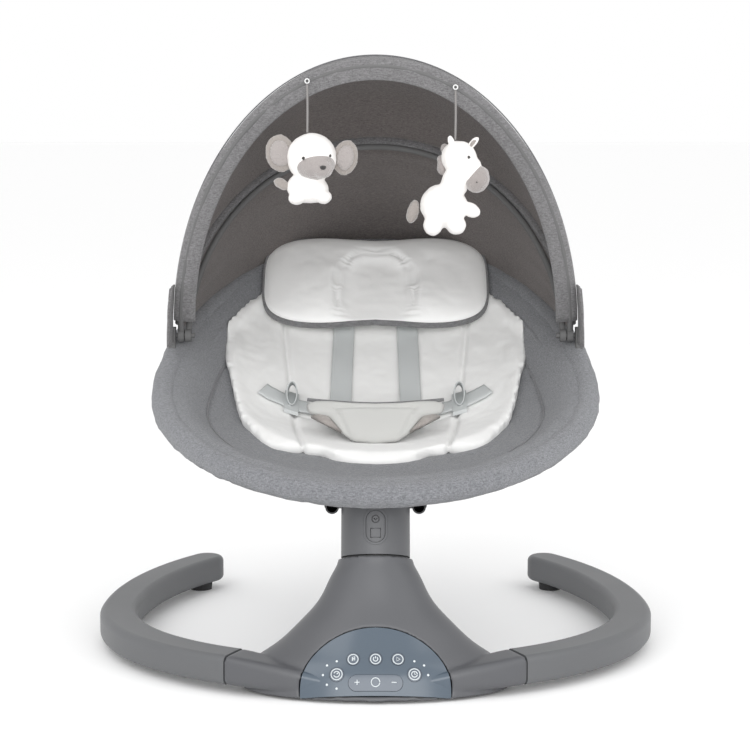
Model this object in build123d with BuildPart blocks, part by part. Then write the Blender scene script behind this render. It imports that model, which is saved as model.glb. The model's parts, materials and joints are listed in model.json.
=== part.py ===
from build123d import *
from math import cos, radians, sin, sqrt
import os

os.makedirs("parts", exist_ok=True)

# Millimetres. +Z up, +X to the sitter's left as seen from the front, +Y towards the head end.
# Origin: on the floor, under the middle of the swing's box.

# ---- driving dimensions ------------------------------------------------------------------
RING_Y = -44  # centre of the C-shaped floor base
LEG_RX = 280  # leg centre line: sideways, forward and backward radii
LEG_FRONT = 232
LEG_REAR = 348
LEG_W, LEG_H, LEG_Z = 40, 30, 24  # leg section and the height of its centre
LEG_ROUND = 7
THIN_TOE = 1.0  # least height of an inset wing
LEG_WALL = 2.6
SEAM_DEG = 30.3  # angle on the leg ellipse, from the front, where a leg plugs on
TIP_DEG = 43  # angle on the rear ellipse where a leg ends
HOUSING_Z = 3  # underside of the housing

HUB_TILT = 19  # the swing axis leans back
SEAM_Y, SEAM_Z = -194, 122  # where the axis crosses the gap between stem and hub
HUB_R, HUB_WALL, HUB_TOP, HUB_GAP = 35, 3, 55, 1.4
SHAFT_R, BEARING_R, FIT = 8, 16, 0.05

PANEL_TILT = 30.7  # the control panel leans back from upright
PANEL_Y, PANEL_Z = -276.3, 37.75
KEY_PROUD, KEY_GAP = 0.5, 0.35

RIM_TILT = 22  # the seat rim rises towards the head
RIM_Y, RIM_Z = -44, 274  # the rim's widest point
RIM_RX, RIM_FRONT, RIM_REAR = 228, 208, 356
RIM_TUBE_R, RIM_PAD_R = 8.5, 13

PIVOT_Y, PIVOT_Z, PIVOT_X = 26, 326, 216  # canopy pivots
BOW_R, PIN_R = 3.5, 3
PANEL_WALL = 3
FRONT_BOW_DEG, MID_BOW_DEG = -21.1, 29.3
FRONT_BOW_REACH, MID_BOW_REACH = 323.5, 245

PILLOW_Y, PILLOW_Z, PILLOW_TILT = 181, 382, 39.8
PILLOW_W, PILLOW_L, PILLOW_T = 268, 148, 30

PAD_Y, PAD_Z, PAD_TILT = -26, 240, 50  # crotch pad's centre and slope


def save(part, name):
    """Label one finished piece and write its STEP file."""
    part.label = name
    export_step(part, "parts/" + name + ".step")


def hub_plane(height):
    """Plane square to the swing axis, height above the seam; its y points back and down."""
    lean = radians(HUB_TILT)
    axis = Vector(0, sin(lean), cos(lean))
    return Plane(origin=Vector(0, SEAM_Y, SEAM_Z) + axis * height, x_dir=(1, 0, 0), z_dir=axis)


def fan_plane(degrees):
    """Plane through the canopy's pivot axis, leaning back by degrees; its y points outward."""
    lean = radians(degrees)
    return Plane(origin=(0, PIVOT_Y, PIVOT_Z), x_dir=(1, 0, 0), z_dir=(0, -cos(lean), sin(lean)))


PANEL = Plane(
    origin=(0, PANEL_Y, PANEL_Z),
    x_dir=(1, 0, 0),
    z_dir=(0, -cos(radians(PANEL_TILT)), sin(radians(PANEL_TILT))),
)
RIM = Plane(
    origin=(0, RIM_Y, RIM_Z),
    x_dir=(1, 0, 0),
    z_dir=(0, -sin(radians(RIM_TILT)), cos(radians(RIM_TILT))),
)
PILLOW = Plane(
    origin=(0, PILLOW_Y, PILLOW_Z),
    x_dir=(1, 0, 0),
    z_dir=(0, -sin(radians(PILLOW_TILT)), cos(radians(PILLOW_TILT))),
)
CROTCH = Plane(
    origin=(0, PAD_Y, PAD_Z),
    x_dir=(1, 0, 0),
    z_dir=(0, -sin(radians(PAD_TILT)), cos(radians(PAD_TILT))),
)


# ---- floor base ----------------------------------------------------------------------------
# Stem sections: height, centre y, lean, half width, half depth.
STEM = [
    (3, -237.5, 0, 135, 58.5),
    (20, -234, 2, 128, 56.5),
    (30, -230, 4, 120, 54.5),
    (40, -225, 6, 104, 51.5),
    (54, -219, 9, 86, 47.5),
    (72, -211.5, 12, 67, 43),
    (92, -204, 16, 52, 39.8),
    (107, -199, 19, 44.5, 38.2),
]
STEM_TOP_R = 38


def leg_sweep(first, last, inset):
    """Rounded box section swept along the base's ellipse, from first to last degrees.

    Degrees run from straight ahead; past 90 the rear, longer ellipse carries on.
    """
    with BuildPart() as swept:
        with BuildLine(Plane.XY.offset(LEG_Z)) as path:
            EllipticalCenterArc((0, RING_Y), LEG_RX, LEG_FRONT, start_angle=first - 90,
                                arc_size=min(last, 90) - first)
            if last > 90:
                EllipticalCenterArc((0, RING_Y), LEG_RX, LEG_REAR, start_angle=0,
                                    arc_size=last - 90)
        along = path.line % 0
        across = Vector(-along.Y, along.X, 0)
        with BuildSketch(Plane(origin=path.line @ 0, x_dir=across, z_dir=along)):
            RectangleRounded(LEG_W - 2 * inset, LEG_H - 2 * inset, LEG_ROUND - inset)
        sweep(path=path.line)
    return swept.part


# Wing sections: degrees from straight ahead, width, height, centre height, step inward.
WING = [(SEAM_DEG, LEG_W, LEG_H, LEG_Z, 0), (22, 39, 27, 21.5, 1), (14, 37, 22, 18, 3),
        (6, 34, 14, 13, 5)]


def wing(side, inset):
    """Flowing side of the housing, from the leg's full section down to a low toe."""
    with BuildPart() as flow:
        for degrees, width, height, centre, step in WING:
            turn = radians(degrees)
            outward = Vector(side * sin(turn) / LEG_RX, -cos(turn) / LEG_FRONT, 0).normalized()
            middle = Vector(side * LEG_RX * sin(turn), RING_Y - LEG_FRONT * cos(turn), centre)
            along = Vector(-side * outward.Y, side * outward.X, 0)
            with BuildSketch(Plane(origin=middle - outward * step, x_dir=outward, z_dir=along)):
                RectangleRounded(width - 2 * inset, max(height - 2 * inset, THIN_TOE),
                                 max(LEG_ROUND - inset - 0.2, 0.3 * THIN_TOE))
        loft()
    return flow.part


def casing_block(inset, low=HOUSING_Z):
    """Outside of the drive housing with its stem, shrunk by inset all round."""
    with BuildPart() as stem:
        for height, centre, lean, half_width, half_depth in STEM:
            z = low if height == HOUSING_Z else height
            plane = Plane(
                origin=(0, centre, z),
                x_dir=(1, 0, 0),
                z_dir=(0, sin(radians(lean)), cos(radians(lean))),
            )
            with BuildSketch(plane):
                Ellipse(half_width - inset, half_depth - inset)
        with BuildSketch(hub_plane(0)):
            Ellipse(STEM_TOP_R - inset, STEM_TOP_R - inset)
        loft()
        add(wing(-1, inset))
        add(wing(1, inset))
        if inset > 0:  # the inside runs on through the top
            with BuildSketch(hub_plane(-1)):
                Circle(STEM_TOP_R - inset)
            extrude(amount=3)
    return stem.part


def panel_prism(half_width, half_height, top, bottom, depth):
    """Prism with the control panel's half-oval outline, square to the panel."""
    with BuildPart() as prism:
        with BuildSketch(PANEL.offset(-depth)):
            with Locations((0, bottom + 6)):
                Ellipse(half_width, half_height)
            with Locations((0, bottom)):
                Rectangle(4 * half_width, 4 * half_height, align=(Align.CENTER, Align.MAX),
                          mode=Mode.SUBTRACT)
        extrude(amount=depth + top)
    return prism.part


KEYS = {  # centre across, centre up the slope, radius
    "power_key": (0, 2, 6.4),
    "music_key": (-22, 2, 6.4),
    "play_key": (22, 2, 6.4),
    "speed_key": (-38, -13.2, 7),
    "timer_key": (38, -13.2, 7),
}
ROCKER_W, ROCKER_H, ROCKER_UP = 53, 15.4, -21.9
LIGHTS = [(-38, 90), (-38, 135), (-38, 180), (-38, 225), (-38, 270), (38, 90), (38, 45), (38, 0)]
LIGHT_RING, LIGHT_R = 13.5, 1.1

outer = casing_block(0)
lens_face = casing_block(0.8)
lens_back = casing_block(3.0, low=0)
hollow = casing_block(3.2, low=0)
key_face = casing_block(0.8 - KEY_PROUD)
LENS_OUTLINE = (74, 62)
SOCKET_SPOT = (-44, 19)

with BuildPart() as base_housing:
    add(outer)
    add(hollow, mode=Mode.SUBTRACT)
    add(panel_prism(LENS_OUTLINE[0] + 0.4, LENS_OUTLINE[1] + 0.4, 14, -34.4, 24),
        mode=Mode.SUBTRACT)
    with BuildSketch(Plane.XZ.offset(170)):
        with Locations(SOCKET_SPOT):
            Rectangle(11.2, 11.2)
    extrude(amount=24, mode=Mode.SUBTRACT)
save(base_housing.part, "base_housing")

with BuildPart() as panel_lens:
    add(lens_face)
    add(lens_back, mode=Mode.SUBTRACT)
    add(panel_prism(LENS_OUTLINE[0], LENS_OUTLINE[1], 14, -34, 15), mode=Mode.INTERSECT)
    with BuildSketch(PANEL.offset(-20)):
        for across, up, radius in KEYS.values():
            with Locations((across, up)):
                Circle(radius + KEY_GAP)
        with Locations((0, ROCKER_UP)):
            SlotOverall(ROCKER_W + 2 * KEY_GAP, ROCKER_H + 2 * KEY_GAP)
        for across, turn in LIGHTS:
            with Locations((across + LIGHT_RING * cos(radians(turn)),
                            -13.2 + LIGHT_RING * sin(radians(turn)))):
                Circle(LIGHT_R + 0.1)
    extrude(amount=40, mode=Mode.SUBTRACT)
save(panel_lens.part, "panel_lens")

KEY_STEM = 7  # how far a key reaches in behind the panel's middle plane
for name, (across, up, radius) in KEYS.items():
    with BuildPart() as key:
        with BuildSketch(PANEL.offset(-KEY_STEM - 3 * abs(across) / 38)):
            with Locations((across, up)):
                Circle(radius)
        extrude(amount=30)
        add(key_face, mode=Mode.INTERSECT)
    save(key.part, name)

with BuildPart() as volume_rocker:
    with BuildSketch(PANEL.offset(-KEY_STEM)):
        with Locations((0, ROCKER_UP)):
            SlotOverall(ROCKER_W, ROCKER_H)
    extrude(amount=30)
    add(key_face, mode=Mode.INTERSECT)
save(volume_rocker.part, "volume_rocker")

with BuildPart() as indicator_lights:
    with BuildSketch(PANEL.offset(-9)):
        for across, turn in LIGHTS:
            with Locations((across + LIGHT_RING * cos(radians(turn)),
                            -13.2 + LIGHT_RING * sin(radians(turn)))):
                Circle(LIGHT_R)
    extrude(amount=30)
    add(lens_face, mode=Mode.INTERSECT)
save(indicator_lights.part, "indicator_lights")

with BuildPart() as key_mat:
    with BuildSketch(PANEL.offset(-15)):
        with Locations((0, -8)):
            RectangleRounded(96, 36, 4)
    extrude(amount=2.2)
save(key_mat.part, "key_mat")

with BuildPart() as control_board:
    with BuildSketch(PANEL.offset(-18)):
        with Locations((0, -2)):
            RectangleRounded(104, 38, 2)
    extrude(amount=1.6)
save(control_board.part, "control_board")

with BuildPart() as base_bottom_cover:
    add(casing_block(7.5))
    with BuildSketch(Plane.XY.offset(HOUSING_Z)):
        Rectangle(800, 800)
    extrude(amount=2.6, mode=Mode.INTERSECT)
save(base_bottom_cover.part, "base_bottom_cover")

SCREW_SPOTS = [(-92, -232), (92, -232), (-52, -206), (52, -206)]
with BuildPart() as housing_screws:
    with BuildSketch(Plane.XY.offset(0.9)):
        with Locations(*SCREW_SPOTS):
            Circle(3.4)
    extrude(amount=HOUSING_Z - 0.9)
save(housing_screws.part, "housing_screws")

with BuildPart() as front_feet:
    with BuildSketch(Plane.XY):
        with Locations((-72, -252), (72, -252), (0, -262)):
            SlotOverall(34, 12)
    extrude(amount=HOUSING_Z)
    fillet(front_feet.faces().sort_by(Axis.Z)[:3].edges(), 0.8)
save(front_feet.part, "front_feet")

leg_floor = LEG_Z - LEG_H / 2
tip_angle = radians(TIP_DEG)
with BuildPart() as right_leg:
    with BuildSketch(Plane.XY.offset(leg_floor)):
        with Locations((LEG_RX * cos(tip_angle), RING_Y + LEG_REAR * sin(tip_angle))):
            Circle(LEG_W / 2)
    extrude(amount=LEG_H)
    fillet(right_leg.faces().group_by(Axis.Z)[0].edges()
           + right_leg.faces().group_by(Axis.Z)[-1].edges(), LEG_ROUND - 0.1)
    add(leg_sweep(SEAM_DEG + 0.12, 90 + TIP_DEG, 0))
    add(leg_sweep(SEAM_DEG - 1, 90 + TIP_DEG - 2, LEG_WALL), mode=Mode.SUBTRACT)
left_leg = mirror(right_leg.part, about=Plane.YZ)
save(right_leg.part, "right_leg")
save(left_leg, "left_leg")

with BuildPart() as leg_feet:
    for side in (-1, 1):
        for degrees in (2, TIP_DEG - 2):
            turn = radians(degrees)
            spot = (side * LEG_RX * cos(turn), RING_Y + LEG_REAR * sin(turn))
            with BuildSketch(Plane.XY):
                with Locations(spot):
                    Circle(13)
            extrude(amount=leg_floor, taper=-4)
save(leg_feet.part, "leg_feet")

with BuildPart() as speaker:
    with BuildSketch(Plane.XY.offset(8)):
        with Locations((78, -222)):
            Circle(17)
    extrude(amount=6)
    with BuildSketch(Plane.XY.offset(14)):
        with Locations((78, -222)):
            Circle(9)
    extrude(amount=8)
save(speaker.part, "speaker")

with BuildPart() as dc_socket:
    with BuildSketch(Plane.XZ.offset(178.5)):
        with Locations(SOCKET_SPOT):
            Rectangle(11, 11)
    extrude(amount=12)
    with BuildSketch(Plane.XZ.offset(178.5)):
        with Locations(SOCKET_SPOT):
            Circle(2.9)
    extrude(amount=9, mode=Mode.SUBTRACT)
    with BuildSketch(Plane.XZ.offset(178.5)):
        with Locations(SOCKET_SPOT):
            Circle(0.9)
    extrude(amount=9)
save(dc_socket.part, "dc_socket")

# ---- drive inside the stem -------------------------------------------------------------------
CARRIER_LOW, CARRIER_HIGH = -64, -4
with BuildPart() as bearing_carrier:
    with BuildSketch(hub_plane(CARRIER_LOW)):
        Circle(BEARING_R + 3.5)
        Circle(BEARING_R, mode=Mode.SUBTRACT)
    extrude(amount=CARRIER_HIGH - CARRIER_LOW)
    with BuildSketch(hub_plane(CARRIER_HIGH - 5)):
        Circle(STEM_TOP_R - 4.4)
        Circle(BEARING_R, mode=Mode.SUBTRACT)
    extrude(amount=5)
save(bearing_carrier.part, "bearing_carrier")

with BuildPart() as shaft_bearings:
    for height in (CARRIER_LOW, CARRIER_HIGH - 10):
        with BuildSketch(hub_plane(height)):
            Circle(BEARING_R)
            Circle(SHAFT_R + FIT, mode=Mode.SUBTRACT)
        extrude(amount=10)
save(shaft_bearings.part, "shaft_bearings")

with BuildPart() as dust_ring:
    with BuildSketch(hub_plane(-1)):
        Circle(33.4)
        Circle(29, mode=Mode.SUBTRACT)
    extrude(amount=1.8)
save(dust_ring.part, "dust_ring")

SHAFT_LOW, SHAFT_HIGH = -79, 22
with BuildPart() as swing_shaft:
    with BuildSketch(hub_plane(SHAFT_LOW)):
        Circle(SHAFT_R)
        Circle(SHAFT_R - 2.5, mode=Mode.SUBTRACT)
    extrude(amount=SHAFT_HIGH - SHAFT_LOW)
save(swing_shaft.part, "swing_shaft")

with BuildPart() as encoder_disc:
    with BuildSketch(hub_plane(-69)):
        Circle(22)
        Circle(SHAFT_R, mode=Mode.SUBTRACT)
        with PolarLocations(18, 24):
            Rectangle(4, 1.2, mode=Mode.SUBTRACT)
    extrude(amount=1)
save(encoder_disc.part, "encoder_disc")

ARM_REACH, ARM_LOW = 30, -78
with BuildPart() as magnet_arm:
    with BuildSketch(hub_plane(ARM_LOW)):
        Circle(12)
        with Locations((0, ARM_REACH / 2)):
            Rectangle(12, ARM_REACH)
        with Locations((0, ARM_REACH)):
            Circle(9)
        Circle(SHAFT_R, mode=Mode.SUBTRACT)
    extrude(amount=6)
save(magnet_arm.part, "magnet_arm")

with BuildPart() as drive_magnet:
    with BuildSketch(hub_plane(ARM_LOW - 4)):
        with Locations((0, ARM_REACH)):
            Circle(8)
    extrude(amount=4)
save(drive_magnet.part, "drive_magnet")

with BuildPart() as retaining_ring:
    with BuildSketch(hub_plane(-3.6)):
        Circle(SHAFT_R + 3.5)
        Circle(SHAFT_R, mode=Mode.SUBTRACT)
    extrude(amount=1.2)
save(retaining_ring.part, "retaining_ring")

COIL_LOW = -92
with BuildPart() as drive_coil:
    with BuildSketch(hub_plane(COIL_LOW)):
        with Locations((0, ARM_REACH)):
            Circle(13)
            Circle(5, mode=Mode.SUBTRACT)
    extrude(amount=8)
save(drive_coil.part, "drive_coil")

with BuildPart() as coil_bracket:
    with BuildSketch(hub_plane(COIL_LOW - 3)):
        with Locations((0, ARM_REACH - 6)):
            RectangleRounded(44, 34, 5)
    extrude(amount=3)
save(coil_bracket.part, "coil_bracket")

# ---- hub and release button ---------------------------------------------------------------------
BUTTON_UP, BUTTON_W, BUTTON_H, BUTTON_IN = 29, 19, 32, 27
SOCKET = (26.6, 16.6)
SPIGOT = (26, 16)
SPIGOT_LOW = 26


def front_pill(width, height, near, far):
    """Upright pill through the hub's front wall, from near to far along the front."""
    plane = hub_plane(BUTTON_UP)
    face = Plane(origin=plane.origin - plane.y_dir * near, x_dir=(1, 0, 0), z_dir=-plane.y_dir)
    with BuildPart() as pill:
        with BuildSketch(face):
            SlotOverall(height, width, rotation=90)
        extrude(amount=far - near)
    return pill.part


def hub_round(radius):
    """Cylinder round the hub axis that trims the pieces in its wall."""
    with BuildPart() as round_bar:
        with BuildSketch(hub_plane(0)):
            Circle(radius)
        extrude(amount=HUB_TOP + 5)
    return round_bar.part


with BuildPart() as hub_shell:
    with BuildSketch(hub_plane(HUB_GAP)):
        Circle(HUB_R)
    extrude(amount=HUB_TOP - HUB_GAP)
    fillet(hub_shell.faces().sort_by(Axis.Z)[-1].edges(), 2.4)
    with BuildSketch(hub_plane(HUB_GAP)):
        Circle(HUB_R - HUB_WALL)
        Circle(17, mode=Mode.SUBTRACT)
    extrude(amount=HUB_TOP - 5 - HUB_GAP, mode=Mode.SUBTRACT)
    with BuildSketch(hub_plane(HUB_GAP)):
        Circle(17)
    extrude(amount=4.6, mode=Mode.SUBTRACT)
    with BuildSketch(hub_plane(0)):
        Circle(SHAFT_R)
    extrude(amount=SHAFT_HIGH, mode=Mode.SUBTRACT)
    with BuildSketch(hub_plane(SPIGOT_LOW - 1)):
        Rectangle(*SOCKET)
    extrude(amount=HUB_TOP, mode=Mode.SUBTRACT)
    add(front_pill(24, 37, 20, 40), mode=Mode.SUBTRACT)
save(hub_shell.part, "hub_shell")

with BuildPart() as button_surround:
    add(front_pill(23.8, 36.8, 27, 40))
    add(front_pill(BUTTON_W + 0.8, BUTTON_H + 0.8, 20, 50), mode=Mode.SUBTRACT)
    add(hub_round(HUB_R + 0.6), mode=Mode.INTERSECT)
save(button_surround.part, "button_surround")

with BuildPart() as release_button:
    add(front_pill(BUTTON_W, BUTTON_H, BUTTON_IN, 40))
    add(hub_round(HUB_R - 0.3), mode=Mode.INTERSECT)
save(release_button.part, "release_button")

with BuildPart() as button_spring:
    plane = hub_plane(BUTTON_UP)
    with BuildSketch(Plane(origin=plane.origin - plane.y_dir * 17, x_dir=(1, 0, 0),
                           z_dir=-plane.y_dir)):
        Circle(4)
        Circle(3, mode=Mode.SUBTRACT)
    extrude(amount=5.4)
save(button_spring.part, "button_spring")

# ---- seat frame -----------------------------------------------------------------------------------
PLATE_W, PLATE_D, PLATE_T, PLATE_LIFT = 105, 52, 5.6, 0.3


def rim_path(first, last, front):
    """Part of the egg-shaped rim line, in degrees from the sitter's left."""
    with BuildLine(RIM) as path:
        EllipticalCenterArc((0, 0), RIM_RX, RIM_FRONT if front else RIM_REAR,
                            start_angle=first, arc_size=last - first)
    return path.line


def rim_sweep(first, last, front, radius, bore=0):
    """Tube along part of the rim line."""
    path = rim_path(first, last, front)
    with BuildPart() as tube:
        with BuildSketch(Plane(origin=path @ 0, z_dir=path % 0)):
            Circle(radius)
            if bore:
                Circle(bore, mode=Mode.SUBTRACT)
        sweep(path=path)
    return tube.part


with BuildPart() as rim_front_tube:
    add(rim_sweep(180.15, 359.85, True, RIM_TUBE_R, RIM_TUBE_R - 1.6))
save(rim_front_tube.part, "rim_front_tube")
with BuildPart() as rim_rear_tube:
    add(rim_sweep(0, 180, False, RIM_TUBE_R, RIM_TUBE_R - 1.6))
save(rim_rear_tube.part, "rim_rear_tube")

front_bar = rim_sweep(200, 340, True, RIM_TUBE_R + 0.02)
rear_bar = rim_sweep(40, 140, False, RIM_TUBE_R + 0.02)
ARM_X, ARM_W = 40, 13

with BuildPart() as seat_bracket:
    with BuildSketch(hub_plane(HUB_TOP + PLATE_LIFT)):
        with Locations((0, 1)):
            RectangleRounded(PLATE_W, PLATE_D, 8)
    extrude(amount=PLATE_T)
    with BuildSketch(hub_plane(SPIGOT_LOW)):
        Rectangle(*SPIGOT)
    extrude(amount=HUB_TOP + PLATE_LIFT - SPIGOT_LOW)
    with BuildSketch(hub_plane(HUB_TOP + PLATE_LIFT)):
        with Locations((-ARM_X, -38), (ARM_X, -38)):
            RectangleRounded(ARM_W, 44, 3)
    extrude(amount=PLATE_T)
    add(front_bar, mode=Mode.SUBTRACT)
save(seat_bracket.part, "seat_bracket")


def support_line(side):
    """One under-seat tube's line, from the bracket back and up to the rear rim."""
    with BuildLine() as path:
        FilletPolyline(
            (side * 44.5, -172, 171), (side * 46, 10, 172), (side * 66, 192, 276),
            (side * 77, 272, 398), radius=[90, 80],
        )
    return path.line


def support_bar(side, radius, bore=0):
    """One under-seat tube."""
    path = support_line(side)
    with BuildPart() as bar:
        with BuildSketch(Plane(origin=path @ 0, z_dir=path % 0)):
            Circle(radius)
            if bore:
                Circle(bore, mode=Mode.SUBTRACT)
        sweep(path=path)
    return bar.part


with BuildPart() as support_tubes:
    for side in (-1, 1):
        add(support_bar(side, 7, 5.4))
    add(rear_bar, mode=Mode.SUBTRACT)
    add(seat_bracket.part, mode=Mode.SUBTRACT)
save(support_tubes.part, "support_tubes")

with BuildPart() as rim_cover:
    add(rim_sweep(180, 360, True, RIM_PAD_R))
    add(rim_sweep(0, 180, False, RIM_PAD_R))
    add(rim_sweep(180, 360, True, RIM_TUBE_R + 0.3), mode=Mode.SUBTRACT)
    add(rim_sweep(0, 180, False, RIM_TUBE_R + 0.3), mode=Mode.SUBTRACT)
    with BuildSketch(Plane.XY.offset(PIVOT_Z - 60)):
        with Locations((-PIVOT_X - 12, PIVOT_Y), (PIVOT_X + 12, PIVOT_Y)):
            Rectangle(15, 17)
    extrude(amount=80, mode=Mode.SUBTRACT)
    with BuildSketch(hub_plane(HUB_TOP - 0.5)):
        with Locations((-ARM_X, -38), (ARM_X, -38)):
            Rectangle(ARM_W + 1, 48)
    extrude(amount=PLATE_T + 1.5, mode=Mode.SUBTRACT)
    for side in (-1, 1):
        add(support_bar(side, 7.5), mode=Mode.SUBTRACT)
save(rim_cover.part, "rim_cover")

# ---- padded seat ------------------------------------------------------------------------------------
# Bowl slices, square to the rim plane: depth, front end, rear end, half width, widest point.
BOWL = [
    (0, -178, 324, 194, 2),
    (-23, -108, 262, 172, 45),
    (-39, -62, 202, 146, 50),
    (-53, -30, 142, 114, 45),
    (-62, -4, 108, 80, 48),
    (-68, 24, 76, 42, 50),
]


def egg(slice_sizes, grow):
    """Egg outline of one bowl slice, widened by grow."""
    front, rear, half_width, widest = slice_sizes
    with BuildLine(Plane.XY) as outline:
        EllipticalCenterArc((0, widest), half_width + grow, widest - front + grow,
                            start_angle=180, arc_size=180)
        EllipticalCenterArc((0, widest), half_width + grow, rear + grow - widest,
                            start_angle=0, arc_size=180)
    return outline.line.edges()


def bowl(drop, grow, top=0):
    """The seat's hollow, lowered by drop and widened by grow, carried up to top."""
    with BuildPart() as space:
        with BuildSketch(RIM):
            make_face(egg(BOWL[0][1:], grow))
        for depth, *sizes in BOWL[1:]:
            with BuildSketch(RIM.offset(depth - drop)):
                make_face(egg(sizes, grow))
        loft()
        if top:
            with BuildSketch(RIM):
                make_face(egg(BOWL[0][1:], grow))
            extrude(amount=top)
    return space.part


liner_top = bowl(0, 0, 2)
liner_under = bowl(11.6, 6)
cover_top = bowl(12, 7, 2)
cover_under = bowl(22, 15)

with BuildPart() as seat_cover:
    add(cover_under)
    add(cover_top, mode=Mode.SUBTRACT)
    with BuildSketch(hub_plane(HUB_TOP)):
        Rectangle(PLATE_W + 4, 116)
    extrude(amount=PLATE_T + 1.2, mode=Mode.SUBTRACT)
save(seat_cover.part, "seat_cover")


def liner_outline():
    """Plan outline of the white liner, with a kink beside each thigh."""
    right = [(114, -91), (150, -28), (172, 76), (171, 112), (134, 193), (70, 236)]
    left = [(-x, y) for x, y in reversed(right)]
    with BuildLine(Plane.XY) as outline:
        FilletPolyline(*right, *left, radius=30, close=True)
    return outline.line.edges()


with BuildPart() as liner_prism:
    with BuildSketch(Plane.XY.offset(150)):
        make_face(liner_outline())
        with Locations((0, -80)):
            Ellipse(60, 36)
    extrude(amount=260)

with BuildPart() as seat_liner:
    add(liner_under)
    add(liner_top, mode=Mode.SUBTRACT)
    add(liner_prism.part, mode=Mode.INTERSECT)
save(seat_liner.part, "seat_liner")

pillow_space = bowl(-1.2, -1, 120)
with BuildPart() as head_pillow:
    with BuildSketch(PILLOW.offset(-PILLOW_T)):
        RectangleRounded(PILLOW_W, PILLOW_L, 40)
    extrude(amount=PILLOW_T)
    fillet(head_pillow.edges().group_by(SortBy.LENGTH)[-1], 2)
    add(pillow_space, mode=Mode.INTERSECT)
save(head_pillow.part, "head_pillow")


def on_bowl(lift, thick, across, back, width, length):
    """Flat band that follows the liner, lifted off it, over a rectangle seen from above."""
    with BuildPart() as band:
        add(bowl(-lift, -0.7 * lift, 2))
        add(bowl(-lift - thick, -0.7 * (lift + thick), 4), mode=Mode.SUBTRACT)
        with BuildSketch(Plane.XY.offset(150)):
            with Locations((across, back)):
                Rectangle(width, length)
        extrude(amount=300, mode=Mode.INTERSECT)
    return band.part


STRAP_W = 24
for name, side in (("shoulder_strap_left", -1), ("shoulder_strap_right", 1)):
    strap = on_bowl(0.8, 2, side * 41, 52, STRAP_W, 112)
    save(strap, name)

with BuildPart() as waist_straps:
    for side in (-1, 1):
        add(on_bowl(0.8, 2, side * 94, 32, 64, STRAP_W))
save(waist_straps.part, "waist_straps")

with BuildPart() as strap_adjusters:
    for side in (-1, 1):
        add(on_bowl(3.2, 3.5, side * 94, 32, 16, 32))
save(strap_adjusters.part, "strap_adjusters")

with BuildPart() as crotch_pad:
    with BuildSketch(CROTCH):
        with Locations((0, 13)):
            RectangleRounded(144, 24, 9)
        with BuildLine():
            Polyline((-46, 13), (46, 13), (28, -26), (-28, -26), close=True)
        make_face()
    extrude(amount=8)
    fillet(crotch_pad.faces().filter_by(CROTCH).edges(), 2.5)
save(crotch_pad.part, "crotch_pad")

with BuildPart() as buckle_housing:
    with BuildSketch(CROTCH.offset(-12.4)):
        with Locations((0, 4)):
            RectangleRounded(46, 34, 8)
    extrude(amount=12)
    with BuildSketch(CROTCH.offset(-12.4)):
        with Locations((0, 4)):
            RectangleRounded(20.6, 14.6, 4)
    extrude(amount=6, mode=Mode.SUBTRACT)
save(buckle_housing.part, "buckle_housing")

with BuildPart() as buckle_button:
    with BuildSketch(CROTCH.offset(-13.4)):
        with Locations((0, 4)):
            RectangleRounded(20, 14, 3.7)
    extrude(amount=4)
save(buckle_button.part, "buckle_button")

# ---- canopy ------------------------------------------------------------------------------------------
BLOCK_X = 10  # the clamp stands this far outside the bows
with BuildPart() as canopy_pivots:
    for side in (-1, 1):
        with BuildSketch(Plane.XY.offset(PIVOT_Z - 24)):
            with Locations((side * (PIVOT_X + BLOCK_X), PIVOT_Y)):
                RectangleRounded(8, 15, 2)
        extrude(amount=33)
        with BuildSketch(Plane.YZ.offset(side * 201)):
            with Locations((PIVOT_Y, PIVOT_Z)):
                Circle(PIN_R)
        extrude(amount=side * 24)
    add(rim_sweep(0, 60, False, RIM_TUBE_R + 0.02), mode=Mode.SUBTRACT)
    add(rim_sweep(120, 180, False, RIM_TUBE_R + 0.02), mode=Mode.SUBTRACT)
save(canopy_pivots.part, "canopy_pivots")


def bow(degrees, half_span, reach):
    """Half-oval bow with a flat eye round the pivot pin at each end."""
    plane = fan_plane(degrees)
    with BuildPart() as hoop:
        with BuildLine(plane) as path:
            EllipticalCenterArc((0, 0), half_span, reach, start_angle=1.2, arc_size=177.6)
        with BuildSketch(Plane(origin=path.line @ 0, z_dir=path.line % 0)):
            Circle(BOW_R)
        sweep(path=path.line)
        for side in (-1, 1):
            with BuildSketch(Plane.YZ.offset(side * half_span)):
                with Locations((PIVOT_Y, PIVOT_Z)):
                    Circle(7)
            extrude(amount=BOW_R - 0.2, both=True)
            with BuildSketch(Plane.YZ.offset(side * half_span)):
                with Locations((PIVOT_Y, PIVOT_Z)):
                    Circle(PIN_R + FIT)
            extrude(amount=BOW_R + 1, both=True, mode=Mode.SUBTRACT)
    return hoop.part


MID_SPAN = PIVOT_X - 2 * BOW_R - 0.8
front_bow = bow(FRONT_BOW_DEG, PIVOT_X, FRONT_BOW_REACH - 8)
mid_bow = bow(MID_BOW_DEG, MID_SPAN, MID_BOW_REACH - 8)
save(front_bow, "front_bow")
save(mid_bow, "mid_bow")


def fabric_arch(sections, half_span, low):
    """Curved sheet lofted through half-oval strips that fan about the pivot axis."""
    with BuildPart() as sheet:
        for degrees, reach in sections:
            with BuildSketch(fan_plane(degrees)):
                Ellipse(half_span, reach)
                Ellipse(half_span - PANEL_WALL, reach - PANEL_WALL, mode=Mode.SUBTRACT)
                with Locations((0, low)):
                    Rectangle(1000, 1000, align=(Align.CENTER, Align.MAX), mode=Mode.SUBTRACT)
        loft()
    return sheet.part


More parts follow.
